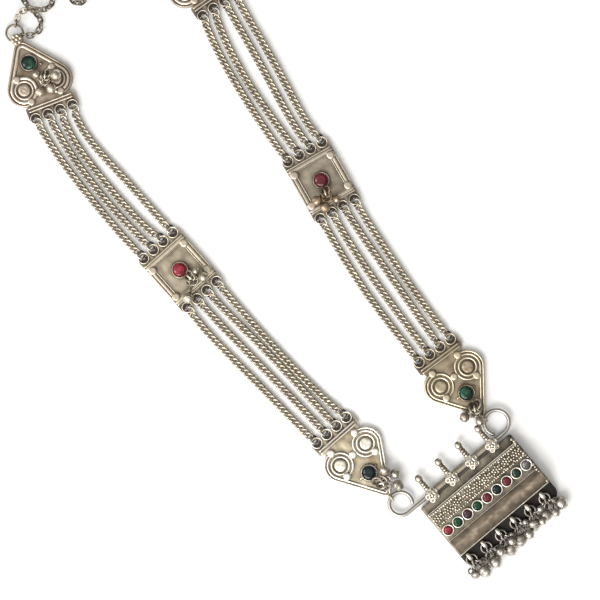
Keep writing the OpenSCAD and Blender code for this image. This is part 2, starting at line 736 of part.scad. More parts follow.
stone_amulet_4();
stone_amulet_5();
stone_amulet_6();
stone_amulet_7();
stone_amulet_8();
stone_amulet_9();
neck_chain_left();
neck_chain_right();
tail_chain();
end_ring_left();
end_ring_right();
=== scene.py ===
"""The looks of a long village silver necklace, lying flat on a pale surface.

Shapes are worked out in millimetres with numpy, each in the frame of its plaque or box, and go into their
meshes in metres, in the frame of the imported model.
"""
from dataclasses import dataclass
from math import acos, atan, atan2, cos, degrees, hypot, pi, radians, sin

import bpy
import numpy as np
from bpy.props import FloatProperty, FloatVectorProperty, IntProperty, PointerProperty
from mathutils import Matrix, Vector


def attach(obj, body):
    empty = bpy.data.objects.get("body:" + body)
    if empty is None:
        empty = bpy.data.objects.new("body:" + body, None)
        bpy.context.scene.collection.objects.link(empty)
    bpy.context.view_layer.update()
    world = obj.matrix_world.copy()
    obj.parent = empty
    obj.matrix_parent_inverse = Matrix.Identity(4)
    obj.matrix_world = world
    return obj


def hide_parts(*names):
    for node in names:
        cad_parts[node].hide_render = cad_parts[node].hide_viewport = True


bl_info = {
    "name": "Village silver necklace",
    "version": (1, 0, 0),
    "blender": (4, 5, 0),
    "location": "View3D > Sidebar > Necklace",
    "description": "Builds the plaques, chains, bells, stones and box amulet of a long silver necklace",
    "category": "Add Mesh",
}

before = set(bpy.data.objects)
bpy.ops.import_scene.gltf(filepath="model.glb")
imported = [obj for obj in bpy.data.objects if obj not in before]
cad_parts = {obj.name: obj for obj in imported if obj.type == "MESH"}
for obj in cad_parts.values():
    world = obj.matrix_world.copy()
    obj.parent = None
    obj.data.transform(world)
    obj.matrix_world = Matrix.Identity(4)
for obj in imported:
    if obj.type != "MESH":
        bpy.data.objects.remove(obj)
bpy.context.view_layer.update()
MM = 0.001

# Lengths are in millimetres and angles in degrees, as the solids have them.

# The middle of the necklace as it lies, and each plaque's and the box's x, y and turn
LAY_MID = (15.4, 50.5)
PLACES = {
    "heart_left": (-29.7, -59.9, 1.5),
    "heart_right": (35.3, -62.6, -3.2),
    "square_left": (-36.2, 50.0, 1.8),
    "square_right": (46.5, 39.0, -10.4),
    "drop_left": (-33.6, 150.9, 161),
    "drop_right": (63.8, 139.1, 175),
    "box": (8.2, -118.5, 0),
}
# How far down each tip reaches from the eyelets
REACHES = {"heart_left": 43.5, "heart_right": 40.5, "drop_left": 38.5, "drop_right": 38.5}
# How far down the lobes lie, the radius of the tip, and how far the middle line leans to one side for each
# millimetre down
LOBES_Y = {"heart": 16.2, "drop": 15.2}
TIPS_R = {"heart": 2.5, "drop": 4.2}
LEANS = {"heart": 0, "square": 0, "drop": 0.11}
# The rings that carry the bells: x and y on the plaque, and the direction of the staple
CARRIERS = {
    "heart_left": (3.9, -37.2, 158),
    "heart_right": (-2.7, -37.1, 63),
    "square_left": (1.5, -8.4, 100),
    "square_right": (-1.8, -8.8, 80),
    "drop_left": (-1.4, -16.1, -117),
    "drop_right": (-1.4, -16.1, -117),
}
# The bells of each carrier: angle, droop, radius and stem
DROP_BELLS = ((181, -32, 2.8, 1), (108, -25, 2.6, 0.2), (48, -17, 2.5, 1), (-55, -10, 1.9, 0.2))
BELLS = {
    "heart_left": ((60, -28, 2.7, 0.4), (0, -5, 2.4, 0.2), (-62, -10, 2.8, 0.2)),
    "heart_right": ((162, -4, 2.5, 0.2), (-95, -48, 2.3, 0)),
    "square_left": ((-23, -31, 2.5, 0.2), (-147, -16, 2.8, 3.6), (35, -10, 1.9, 0.2)),
    "square_right": ((170, -25, 2.5, 0.2), (-128, -30, 2.5, 0.2), (-41, -26, 2.1, 0.2)),
    "drop_left": DROP_BELLS,
    "drop_right": DROP_BELLS,
}

# The same for each ring of the box, from its left end
BOX_BELLS = (
    ((-79, -21, 3.3, 2.3), (-114, 8, 2.4, 2.5), (-51, 15, 2.1, 2.9)),
    ((-97, -23, 3.1, 2.3), (-54, -29, 2.5, 1.8), (-77, 19, 1.7, 2.7)),
    ((-95, -3, 3.3, 2.3), (-65, -44, 2.1, 1.1), (-40, 8, 1.6, 0.4)),
    ((-113, -2, 3.3, 2.3), (-78, -28, 2.5, 3.2), (-34, -9, 1.6, 0)),
    ((-111, 1, 3.3, 0.9), (-57, 3, 3.0, 2.3), (-79, -36, 1.9, 3.2)),
    ((-56, -1, 3.3, 2.3), (-91, -24, 2.3, 3.2), (-154, -10, 1.8, 0.4)),
)

# Plaques: the height of a plate, and the lobes of hearts and drops with the wire rings on them
PLATE_H = 2.0
LOBE_X = 8.4
LOBE_R = 8.4
LOBE_RING_R = 4.4
LOBE_WIRE_R = 0.64
# How far apart the points of a plaque's edge lie
EDGE_STEP = 0.42
# Eyelets
EYELET_PITCH = 6.5
EYELET_R = 2.5
# Half the length of the bars under a heart's or drop's eyelets, and how far down they lie
BAND_HALF = 1.5 * EYELET_PITCH + 2
BANDS_Y = (4.0, 5.6)
# The middle height of the eyelets' strip, and the jump rings: how they lean, and how far out they lie
STRIP_Z = 1.55
JUMP_R = 2.0
JUMP_WIRE_R = 0.48
JUMP_TILT = 33
JUMP_OUT = 2.3
# Squares, from eyelets to eyelets and across, with their bars' place, and the stones of all plaques
SQUARE_L = 32.8
SQUARE_W = 25.8
BAR_Y = 12.0
STONE_R = 3.8
# The rings that carry bells, the staples that hold those, and the loop of a bell
CARRIER_Z = PLATE_H + 2.1
CARRIER_R = 2.3
CARRIER_WIRE_R = 0.45
STAPLE_R = 1.8
STAPLE_WIRE_R = 0.5
BELL_LOOP_R = 1.05
# The height of the hanger wire's middle
HANG_Z = 2.6
# The hanger wire: how far up from the box's top edge it lies, its radius, and for each of its loops the
# middle and the angles at which it starts and ends
HANGER_Y = 2.5
HANGER_R = 0.95
HANGER_LOOPS = (((-26.8, -110.2), -43, 270), ((35.9, -109.8), 270, 583))

# The box, from its top edge down: places of its parts, and heights above the surface
FACE_Z = 6.4
LEDGE_Z = 4.6
LEDGE_L = 4.2
FRIEZE_Y = 8.9
STONES_Y = 16.5
BULGE_Y = 21.6
BULGE_L = 8.2
APRON_Y = 30.6
APRON_Z = 5.2
FOOT_Z = 2.0
BOX_L = 39.5
BOX_W = 58.2
# How far its flat face reaches to each side
FACE_HALF = BOX_W / 2 - 0.6
# The lower corners of the box are round, and its upper ones sharp
CORNER_R = 4.5
BOX_STONE_R = 2.2
BOX_RING_R = 2.7
STAPLE_Y = 33.4
BOX_STAPLE_Z = APRON_Z - (STAPLE_Y - APRON_Y) * (APRON_Z - FOOT_Z) / (BOX_L - APRON_Y) + 1.3
# What the box has a row of: how many, how far apart, and how far the row's middle lies to the side
BOX_STONES = (9, 6.31, 0)
LUGS = (4, 12.9, -0.8)
BOX_STAPLES = (6, 9.45, -2.1)
# How far up from the box's top edge the lugs lie, and the feet of the spikes on them
LUG_Y = 1.6
SPIKE_Y = 4.1

# How far each curb chain lies to the +X side of the straight line between its eyelets: at a quarter, half and
# three quarters of its way down
SWAYS = {
    "upper_left": ((-2.6, -2.8, -2.0), (-3.2, -3.9, -2.8), (-4.6, -4.9, -3.8), (-4.0, -2.9, -1.5)),
    "upper_right": ((-2.6, -2.8, -1.9), (-3.4, -3.8, -2.3), (-0.3, -0.7, -1.2), (-0.5, -0.7, -1.5)),
    "lower_left": ((-1.5, -1.1, -0.8), (-0.5, -0.2, 0), (-0.2, 0.3, 0.1), (-1.4, -2.0, -1.9)),
    "lower_right": ((-1.5, -2.1, -1.3), (-1.5, -1.7, -1.1), (-0.6, -0.4, -0.2), (-1.2, -1.5, -1.2)),
}

# How each plaque has aged: the tarnish on its open plate, the depth on top of its shots and of its bosses,
# and its polished, clean and stained metal as linear light
LOOKS = {
    "heart_left": (0.20, -1.0, -0.75, (0.96, 0.92, 0.84), (0.76, 0.68, 0.52), (0.50, 0.40, 0.25)),
    "heart_right": (0.27, -0.7, 0.05, (0.76, 0.68, 0.51), (0.56, 0.48, 0.34), (0.33, 0.23, 0.15)),
    "square_left": (0.20, -0.4, 0.0, (0.86, 0.77, 0.62), (0.59, 0.51, 0.39), (0.40, 0.335, 0.245)),
    "square_right": (0.25, -0.7, 0.0, (0.72, 0.64, 0.53), (0.54, 0.475, 0.375), (0.36, 0.31, 0.235)),
    "drop_left": (0.28, -0.6, -0.5, (0.79, 0.70, 0.59), (0.58, 0.49, 0.38), (0.32, 0.255, 0.185)),
    "drop_right": (0.28, -0.6, -0.5, (0.79, 0.70, 0.59), (0.58, 0.49, 0.38), (0.32, 0.255, 0.185)),
}
# The polished, clean and stained metal of the bells, on the plaques and on the box. The polished metal also
# paints the highlight on their upper sides
BELL_LOOKS = {
    "heart_left": ((0.92, 0.88, 0.81), (0.62, 0.56, 0.48), (0.36, 0.31, 0.25)),
    "heart_right": ((0.92, 0.86, 0.76), (0.52, 0.46, 0.38), (0.28, 0.24, 0.19)),
    "square_left": ((0.95, 0.90, 0.78), (0.66, 0.60, 0.47), (0.38, 0.33, 0.24)),
    "square_right": ((0.93, 0.80, 0.58), (0.54, 0.41, 0.27), (0.28, 0.18, 0.12)),
    "drop_left": ((0.97, 0.93, 0.84), (0.80, 0.72, 0.59), (0.46, 0.38, 0.28)),
    "drop_right": ((0.97, 0.93, 0.84), (0.80, 0.72, 0.59), (0.46, 0.38, 0.28)),
    "box": ((0.98, 0.95, 0.90), (0.66, 0.61, 0.54), (0.38, 0.34, 0.29)),
}


# Surfaces

@dataclass
class Surface:
    """Points in millimetres, faces of four and of three points, and each point's depth: 1 in a recess that
    the tarnish fills, 0 in the open, and below 0 where wear has polished the metal. In places the depth also
    carries painted shade and painted highlights."""

    points: np.ndarray
    quads: np.ndarray
    fans: np.ndarray
    depth: np.ndarray

    def placed(self, matrix):
        """The same surface, moved and turned by a 4 x 4 matrix."""
        points = self.points @ matrix[:3, :3].T + matrix[:3, 3]
        return Surface(points, self.quads, self.fans, self.depth)

    def shaded(self, low, high, top=0.0):
        """The same surface, with a depth that falls from 1 at the height low to top at the height high."""
        fall = np.clip((high - self.points[:, 2]) / (high - low), 0, 1)
        return Surface(self.points, self.quads, self.fans, top + (1 - top) * fall ** 1.5)

    def deep(self, depth):
        """The same surface, with one depth all over."""
        return Surface(self.points, self.quads, self.fans, np.full(len(self.points), float(depth)))


def joined(surfaces):
    """Several surfaces as one, each one's faces counted on from the points before it."""
    starts = np.cumsum([0] + [len(s.points) for s in surfaces])
    return Surface(
        np.vstack([s.points for s in surfaces]),
        np.vstack([s.quads + start for s, start in zip(surfaces, starts)]),
        np.vstack([s.fans + start for s, start in zip(surfaces, starts)]),
        np.concatenate([s.depth for s in surfaces]),
    )


def copies(surface, matrices):
    """The surface once for each 4 x 4 matrix, all worked out as one array."""
    matrices = np.asarray(matrices)
    points = np.einsum("mij,nj->mni", matrices[:, :3, :3], surface.points) + matrices[:, None, :3, 3]
    step = np.arange(len(matrices))[:, None, None] * len(surface.points)
    return Surface(
        points.reshape(-1, 3),
        (surface.quads + step).reshape(-1, 4),
        (surface.fans + step).reshape(-1, 3),
        np.tile(surface.depth, len(matrices)),
    )


def grid(points, closed=False):
    """Faces over rows of points, where each row is a loop. Each row joins the next. The last row joins the
    first if closed, or else a fan of faces closes each end at the middle of its row."""
    rows, around = points.shape[:2]
    row = np.arange(rows if closed else rows - 1)[:, None] * around
    above = (row + around) % (rows * around)
    column = np.arange(around)[None, :]
    right = (column + 1) % around
    quads = np.stack([row + column, row + right, above + right, above + column], -1).reshape(-1, 4)
    flat = points.reshape(-1, 3)
    fans = np.zeros((0, 3), int)
    if not closed:
        column, right = column[0], right[0]
        top = (rows - 1) * around
        first = np.full(around, len(flat))
        fans = np.vstack([
            np.stack([first, right, column], 1),
            np.stack([first + 1, top + column, top + right], 1),
        ])
        flat = np.vstack([flat, points[0].mean(0), points[-1].mean(0)])
    return Surface(flat, quads, fans, np.zeros(len(flat)))


def unit(vectors):
    """Vectors divided by their lengths."""
    return vectors / np.linalg.norm(vectors, axis=-1, keepdims=True)


def toward(angle):
    """The step of length 1 at an angle, or at each angle of an array: (cos a, sin a), with a in radians."""
    return np.stack([np.cos(angle), np.sin(angle)], -1)


def ways(points):
    """How far along a line each of its points lies."""
    return np.concatenate([[0], np.cumsum(np.linalg.norm(np.diff(points, axis=0), axis=1))])


def swept(path, profile, closed=False):
    """A profile carried along a path: its first number goes to the left of the way and its second upwards,
    both at right angles to the way. The profile may change from point to point."""
    path = np.asarray(path, float)
    ahead = unit(np.roll(path, -1, 0) - np.roll(path, 1, 0) if closed else np.gradient(path, axis=0))
    left = unit(np.cross((0, 0, 1), ahead))
    over = np.cross(ahead, left)
    profile = np.asarray(profile, float)
    points = path[:, None] + profile[..., :1] * left[:, None] + profile[..., 1:] * over[:, None]
    return grid(points, closed)


def lathed(profile, sides=24, closed=False):
    """A profile of radius and height carried round the upright axis: x = r cos a, y = r sin a."""
    angle = np.arange(sides) * 2 * pi / sides
    radius, height = np.asarray(profile, float).T[:, :, None]
    points = np.stack([radius * np.cos(angle), radius * np.sin(angle), height + 0 * angle], -1)
    return grid(points, closed)


def disc(radius, sides=10, height=1.0):
    """A round profile: r cos b to the side and r sin b upwards, with its height scaled."""
    angle = (np.arange(sides) + 0.5) * 2 * pi / sides
    return (radius, radius * height) * toward(angle)


def arc(middle, radius, start, end, step=0.7):
    """Points along a circle from one angle to another, at most the step apart."""
    count = max(3, int(abs(radians(end - start)) * radius / step) + 2)
    return np.asarray(middle) + radius * toward(np.radians(np.linspace(start, end, count)))


def lifted(points, height):
    """Flat points at a height."""
    return np.column_stack([points, np.full(len(points), float(height))])


def even(points, step):
    """The same line with points at even distances along it."""
    way = ways(points)
    at = np.linspace(0, way[-1], max(3, int(way[-1] / step) + 1))
    return np.stack([np.interp(at, way, points[:, axis]) for axis in range(points.shape[1])], -1)


def ring(middle_r, wire_r, steps=36, sides=10, height=1.0):
    """A wire ring: a disc carried round a circle."""
    circle = lifted(arc((0, 0), middle_r, 0, 360 * (1 - 1 / steps), 2 * pi * middle_r / steps), 0)
    return swept(circle, disc(wire_r, sides, height), closed=True)


def rod(path, radius, sides=10, height=1.0, unevenness=0.0):
    """A wire along a path with rounded ends: the radius falls to the ends as a circle does."""
    path = even(np.asarray(path, float), radius * 0.9)
    way = ways(path)
    end = np.clip(np.minimum(way, way[-1] - way) / radius, 0.12, 1)
    size = np.sqrt(1 - (1 - end) ** 2) * (1 + unevenness * ripple(path, 3.0, 7))
    return swept(path, disc(radius, sides, height) * size[:, None, None])


def ball(radius, rows=8, sides=12, height=1.0):
    """A ball: radius r cos b at height r sin b."""
    return lathed((radius, radius * height) * toward(np.radians(np.linspace(-82, 82, rows))), sides)


def ripple(points, scale, seed):
    """A smooth unevenness from about -1 to 1: the mean of sine waves of about the scale's length, whose
    directions and phases come from the seed."""
    rng = np.random.default_rng(seed)
    waves = unit(rng.normal(size=(7, points.shape[1]))) * (2 * pi / scale) * rng.uniform(0.6, 1.5, (7, 1))
    return np.sin(points @ waves.T + rng.uniform(0, 2 * pi, 7)).mean(1) * 1.8


def shift(x, y, z=0.0):
    """The 4 x 4 matrix of a move."""
    return np.array(Matrix.Translation((x, y, z)))


def turn(angle, axis="Z"):
    """The 4 x 4 matrix of a turn about an axis, in degrees."""
    return np.array(Matrix.Rotation(radians(angle), 4, axis))


def lay(name):
    """The matrix that takes a plaque's or the box's own frame to the model's."""
    x, y, angle = PLACES[name]
    return shift(x - LAY_MID[0], y - LAY_MID[1]) @ turn(angle)


def piece(name, surface, material, slot, *nodes, sharp=40):
    """Puts a surface into a mesh object in metres, riding on the necklace's one body, and hides the nodes
    that it stands for. Edges that bend more than the sharp angle stay crisp."""
    mesh = bpy.data.meshes.new(name)
    corners = np.concatenate([surface.quads.ravel(), surface.fans.ravel()])
    quads, fans = len(surface.quads), len(surface.fans)
    mesh.vertices.add(len(surface.points))
    mesh.vertices.foreach_set("co", (surface.points * MM).astype(np.float32).ravel())
    mesh.loops.add(len(corners))
    mesh.loops.foreach_set("vertex_index", corners.astype(np.int32))
    mesh.polygons.add(quads + fans)
    starts = np.concatenate([np.arange(quads) * 4, quads * 4 + np.arange(fans) * 3])
    mesh.polygons.foreach_set("loop_start", starts.astype(np.int32))
    mesh.update(calc_edges=True)
    mesh.validate()
    depth = mesh.attributes.new("depth", "FLOAT", "POINT")
    depth.data.foreach_set("value", surface.depth.astype(np.float32))
    mesh.polygons.foreach_set("use_smooth", np.ones(quads + fans, bool))
    mesh.set_sharp_from_angle(angle=radians(sharp))
    mesh.materials.append(material)
    item = bpy.data.objects.new(name, mesh)
    bpy.context.scene.collection.objects.link(item)
    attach(item, "root")
    if nodes:
        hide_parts(*nodes)
    return item


# Parts that more than one piece has

def shot(radius, height, top):
    """A flattened ball of metal: the profile is a rounded box, r = (1 - z^4)^(1/4) of its radius, with that
    depth on its top."""
    z = np.array([0, 0.35, 0.6, 0.78, 0.9, 0.965, 0.99])
    r = (1 - z ** 4) ** 0.25
    profile = np.vstack([np.stack([radius * r, height * z], -1), [[radius * 0.45, height * 1.02]]])
    return lathed(profile, 24).shaded(0.1 * height, height * 0.7, top)


def boss(radius, height, top, seed):
    """A low round boss, flat on its top and beaten a little uneven, with that depth on its top."""
    profile = np.array([(1, 0), (1, 0.45), (0.96, 0.75), (0.86, 0.94), (0.6, 1.0), (0.3, 1.03)])
    shape = lathed(profile * (radius, height), 28)
    low = np.clip((0.85 * height - shape.points[:, 2]) / (0.4 * height), 0, 1)
    uneven = ripple(shape.points, 2.6, seed)
    beaten = 0.07
    shape.points[:, 2] += beaten * uneven * (1 - low)
    shape.depth = (1 - low) * (top + 0.22 * uneven) + 0.8 * low
    return shape


def bezel(inner_r, outer_r, height, rim):
    """The rim round a stone: a closed profile that leans in from its foot to a top of the rim's width, which
    wear keeps bright."""
    thin = inner_r + rim
    profile = [
        (outer_r, 0), (outer_r, 0.2 * height), (outer_r - 0.1, 0.4 * height), (thin + 0.12, 0.6 * height),
        (thin + 0.02, 0.86 * height), (thin - 0.1, 0.96 * height), (inner_r + 0.5 * rim, height),
        (inner_r + 0.1, 0.96 * height), (inner_r, 0.86 * height), (inner_r, 0),
    ]
    return lathed(profile, 40, closed=True).shaded(0.2 * height, 0.62 * height, -1.0)


def cut_stone(radius, girdle, crown, seed):
    """A round cut stone of twelve sides: rows at the culet, the girdle's foot and top, the crown's middle,
    the table's edge and a star in the table, each turned by half a side from the one below. Its depth paints
    each facet of glass over foil light or dark, as painted reflection and shade: it alternates round each
    row, grows lighter to one side, and is dark below the crown."""
    sides = 12
    rows = ((0.3, 0, 0), (1, 0.45, 0), (1, girdle, 0), (0.8, girdle + 0.62 * crown, 0.5),
            (0.58, girdle + crown, 1.0), (0.3, girdle + crown, 1.5))
    step = np.arange(sides)[None, :]
    radii, heights, halves = np.array(rows).T[:, :, None]
    angle = (step + halves) * 2 * pi / sides
    out = radius * radii
    stone = grid(np.stack([out * np.cos(angle), out * np.sin(angle), heights + 0 * angle], -1))
    rng = np.random.default_rng(seed)
    # Painted reflection and shade: light and dark alternate round each row, one side is lighter, and the rows
    # below the crown are dark
    odd = (step + np.arange(len(rows))[:, None]) % 2
    painted_facets = np.where(odd, 0.4, 0.75) + rng.uniform(-0.15, 0.15, odd.shape)
    painted_facets += 0.4 * radii * np.cos(angle + 0.9)
    below_crown = 3
    painted_facets[:below_crown] = 1
    stone.depth = np.concatenate([painted_facets.ravel(), [1.0, rng.uniform(0.2, 0.6)]])
    return stone


def rosette(radius, low, high):
    """A post with a flower of grains on its top: one in the middle and six round it."""
    post = [(radius * 0.9, low), (radius, low + 0.3), (radius, high - 0.5), (radius * 0.9, high - 0.1),
            (radius * 0.6, high)]
    grain_r, petal_out = 1.08, 1.98
    places = [shift(0, 0, high)] + [turn(a) @ shift(petal_out, 0, high - 0.05) for a in range(0, 360, 60)]
    grains = copies(ball(grain_r, 8, 14, 0.9), places)
    return joined([lathed(post, 28).shaded(low, high + 0.1), grains.shaded(high - 0.6, high + 0.4, -0.7)])


def scroll_rosette(low, high):
    """A post with a flower on its top: five petals, each a small curled wire, round a grain."""
    post = [(3.0, low), (3.2, low + 0.3), (3.2, high - 0.4), (2.8, high), (1.4, high + 0.15)]
    petal_out, petal_lean = 2.35, 14
    places = [turn(a) @ shift(petal_out, 0, high + 0.1) @ turn(petal_lean, "Y") for a in range(18, 378, 72)]
    petals = joined([
        copies(ring(1.0, 0.64, 20, 8), places).shaded(high - 0.4, high + 0.5, -0.6),
        copies(ball(0.55, 6, 8), places).deep(-0.2),
        ball(1.0, 7, 12).placed(shift(0, 0, high + 0.2)).deep(-0.6),
    ])
    return joined([lathed(post, 28).shaded(low, high + 0.8), petals])


def staple(x, y, z, angle):
    """A small upright wire ring, the angle being the way that it faces along."""
    at = shift(x, y, z) @ turn(angle) @ turn(90, "X")
    return ring(STAPLE_R, STAPLE_WIRE_R, 28).placed(at).shaded(z - 0.2, z + STAPLE_R, -1.0)


def bell(radius, stem):
    """A bell that points to -Y from its loop: a ball with a ridge round its seam and a collar under the stem,
    all one turned profile, with a slot at its far end that is only painted shade, and a wire loop."""
    near, sunk = BELL_LOOP_R, 0.35
    middle = near + stem + radius - sunk
    a = np.radians(np.concatenate([np.linspace(-62, -8, 8), [-5, -3, 0, 3, 5], np.linspace(8, 84, 10)]))
    seam = 1 + 0.05 * np.exp(-(np.degrees(a) / 4) ** 2)
    ball_rows = (0, middle) + (radius * seam)[:, None] * toward(a)
    neck_z = ball_rows[0, 1]
    neck = np.array([(0.3, near - 0.25), (0.42, near), (0.42, neck_z - 0.45), (0.95, neck_z - 0.3),
                     (1.0, neck_z - 0.12), (0.8, neck_z + 0.05)])
    body = lathed(np.vstack([neck, ball_rows]), 26)
    x, z = body.points.T[[0, 2]]
    rise = (z - middle) / radius
    # Painted shade stands for the slot across the far end; tarnish lies along both sides of the seam and at
    # the collar
    slot = np.exp(-(x / 0.28) ** 2) * np.clip(rise * 4 - 1.4, 0, 1)
    seam_dark = np.exp(-((np.abs(rise) - 0.11) / 0.05) ** 2)
    collar = np.exp(-((z - neck_z - 0.1) / 0.35) ** 2)
    worn = 0.2 * ripple(body.points, 3.0, int(radius * 10)) - 0.15
    body.depth = np.maximum.reduce([slot, seam_dark, 0.9 * collar, worn])
    body = body.placed(turn(90, "X"))
    loop = ring(BELL_LOOP_R, 0.3, 20, 8).placed(turn(90, "Y")).shaded(-0.6, 1.2, -0.3)
    return joined([body, loop])


def knot(angle, size):
    """Five small loose rings caught on a carrier's staple, tarnished and painted in shade low down, and drawn
    out flat by a size.
    Each is given by how far out and aside it lies, its turn and its lean."""
    rings = ((1.9, 0.9, 20, 58), (1.3, -1.1, -55, -50), (2.9, 0.2, 100, 42), (0.6, 1.6, 70, 35),
             (3.6, -1.3, -20, -38))
    places = [turn(angle) @ shift(out, aside) @ turn(around) @ turn(lean, "X")
              for out, aside, around, lean in rings]
    rings = copies(ring(1.75, 0.46, 26, 8), places).shaded(-0.9, 2.3, 0.15)
    return rings.placed(np.diag((size, size, 1, 1)))


def hung_bell(ring_r, angle, droop, radius, stem):
    """A bell on a ring: at the angle from its middle, drooping below its plane. Its upper side is painted
    bright and its lower side dark, as painted light and shade."""
    at = turn(angle + 90) @ shift(0, -ring_r) @ turn(droop, "X")
    shape = bell(radius, stem).placed(at)
    middle = (at @ (0, -BELL_LOOP_R - stem - radius, 0, 1))[2]
    # Painted light: lighter above the bell's middle and darker below it
    shape.depth = shape.depth + 0.12 - 0.55 * np.clip((shape.points[:, 2] - middle) / radius, -1, 1)
    return shape


# Plaques

def eyelet_x(k):
    """How far along its row an eyelet lies, for k from 0 to 3."""
    return (k - 1.5) * EYELET_PITCH


def eyelet_row(depth):
    """Four eyelets along X and the strip that holds them, with the plaque on the +Y side. Each eyelet is two
    turns of wire. The strip has a piece for each eyelet, between its round edge and the strip's own."""
    way = toward(np.radians(np.linspace(0, 180, 25)))
    half = EYELET_PITCH / 2
    reach = np.minimum(half / np.maximum(np.abs(way[:, 0]), 1e-6), depth / np.maximum(way[:, 1], 1e-6))
    inner_r = EYELET_R - 1.7
    # The strip's section: the radius, or 0 for its far edge, and the height above its middle
    levels = [(inner_r, -0.2), (inner_r, 0.15), (EYELET_R, 0.3), (0, 0.38), (0, -0.4), (EYELET_R, -0.3)]
    loops = np.stack([
        np.column_stack([way * (radius if radius else reach[:, None]), np.full(len(way), STRIP_Z + z)])
        for radius, z in levels
    ], 1)
    strip = grid(loops[::-1])
    # Painted shade: the strip darkens towards each hole, and the inner turn stays half dark, as shade down in
    # the hole
    distance = np.hypot(*strip.points[:, :2].T)
    strip.depth = 0.25 + 0.85 * np.exp(-(np.maximum(distance - EYELET_R - 0.3, 0) / 0.4) ** 2)
    outer = ring(EYELET_R + 0.12, 0.34, 36, 10).placed(shift(0, 0, STRIP_Z + 0.1))
    inner = ring(EYELET_R - 0.45, 0.34, 32, 8).placed(shift(0, 0, STRIP_Z - 0.1))
    turns = joined([outer.shaded(STRIP_Z + 0.1, STRIP_Z + 0.4, -0.9),
                    inner.shaded(STRIP_Z - 0.1, STRIP_Z + 0.4, 0.45)])
    places = [shift(eyelet_x(k), 0) for k in range(4)]
    return joined([copies(strip, places), copies(turns, places)])


def bar(start, end, height, width=1.0, rise=0.45, top=-0.8):
    """A straight wire of half-round section that rises above its height, with that depth along its top."""
    path = np.array([(*start, height), (*end, height)])
    wire = rod(even(path, 1.0), width / 2, 12, 2 * rise / width, 0.05)
    return wire.shaded(height + 0.1 * rise, height + 0.7 * rise, top)


def ray_reach(middle, angles, circles, corners):
    """How far each ray from the middle goes before it leaves the union of some circles and a polygon: the
    largest distance at which it crosses one of their edges."""
    ray = toward(angles)
    reach = np.zeros(len(angles))
    for x, y, radius in circles:
        to = np.array((x, y)) - middle
        along = ray @ to
        inside = along ** 2 - (to @ to - radius ** 2)
        reach = np.maximum(reach, np.where(inside > 0, along + np.sqrt(np.maximum(inside, 0)), 0))
    corners = np.asarray(corners, float) - middle
    side = np.roll(corners, -1, 0) - corners
    cross = ray[:, None, 0] * side[:, 1] - ray[:, None, 1] * side[:, 0]
    cross = np.where(np.abs(cross) < 1e-9, 1e-9, cross)
    distance = (corners[:, 0] * side[:, 1] - corners[:, 1] * side[:, 0]) / cross
    share = (corners[:, 0] * ray[:, None, 1] - corners[:, 1] * ray[:, None, 0]) / cross
    hit = (share >= 0) & (share <= 1) & (distance > 0)
    return np.maximum(reach, np.where(hit, distance, 0).max(1))


def gap_from(features, flat):
    """How far each flat point lies from the nearest feature, each a line of points and a half width."""
    gaps = [np.sqrt(((flat[:, None] - line[None]) ** 2).sum(-1).min(1)) - half for line, half in features]
    return np.maximum(np.minimum.reduce(gaps), 0)


def plate(middle, outline, features, field, seed):
    """A plate with a rim and a hollow back, as one closed surface. Its rows run from the middle of the back
    out to the edge, up over it and in over the face. A row in the edge is the outline moved inwards, and a
    row in the face is the outline scaled towards the middle. Its depth is the field's in the open and
    greatest at the feet of its features."""
    ahead = unit(np.roll(outline, -1, 0) - np.roll(outline, 1, 0))
    inward = np.stack([-ahead[:, 1], ahead[:, 0]], -1)
    rim_width, back_z, bevel, face_rows = 1.1, 0.6, 0.22, 64
    rim = outline + rim_width * inward
    edge = outline + bevel * inward
    loops = [lifted(middle + (rim - middle) * s, back_z) for s in (0.05, 0.4, 0.75, 1)]
    for inset, height in ((1.05, 0), (0.1, 0), (0, 0.15), (0, PLATE_H - bevel), (0.06, PLATE_H - 0.07),
                          (bevel, PLATE_H)):
        loops.append(lifted(outline + inset * inward, height))
    loops += [lifted(middle + (edge - middle) * s, PLATE_H) for s in np.linspace(1, 0.03, face_rows)[1:]]
    shape = grid(np.stack(loops))
    z = shape.points[:, 2]
    # The face is beaten a little, and tarnish gathers in patches and at the feet of the features. A wider
    # darkening round the features, partly stain and partly painted shade, leaves a painted highlight in the
    # middle of each open field
    on_face = z > PLATE_H - 0.01
    flat = shape.points[:, :2]
    gap = gap_from(features, flat)
    beaten = 0.09
    shape.points[:, 2] = z - on_face * beaten * np.maximum(ripple(flat, 7.0, seed), -0.3)
    foot = 0.75 * np.exp(-(gap / 0.36) ** 2)
    stain = field - 0.12 + 0.3 * np.exp(-(gap / 1.7) ** 2) + 0.14 * ripple(flat, 6.0, seed + 5)
    shape.depth = np.where(on_face, np.maximum(foot, stain), np.where(z < 1.2, 0.9, 0.3))
    return shape


def edge_angle(a, a_r, b, b_r, side):
    """The angle at which the straight line that touches two circles meets them, on one side."""
    apart = hypot(b[0] - a[0], b[1] - a[1])
    return degrees(atan2(b[1] - a[1], b[0] - a[0])) + side * degrees(acos((a_r - b_r) / apart))


def stone_place(name):
    """Where a plaque's stone lies on it, as x and y."""
    kind = name.split("_")[0]
    down = {"heart": 0.65 * REACHES.get(name, 0), "square": 0, "drop": 27.2}[kind]
    return down * LEANS[kind], -down


def setting(name):
    """The rim round a plaque's stone."""
    return bezel(STONE_R - 0.15, STONE_R + 0.5, 2.1, 0.42).placed(shift(*stone_place(name), PLATE_H - 0.2))


def carrier_staple(name):
    """The staple that holds the ring of a plaque's bells."""
    x, y, angle = CARRIERS[name]
    return staple(*((x, y) + CARRIER_R * toward(radians(angle))), CARRIER_Z, angle)


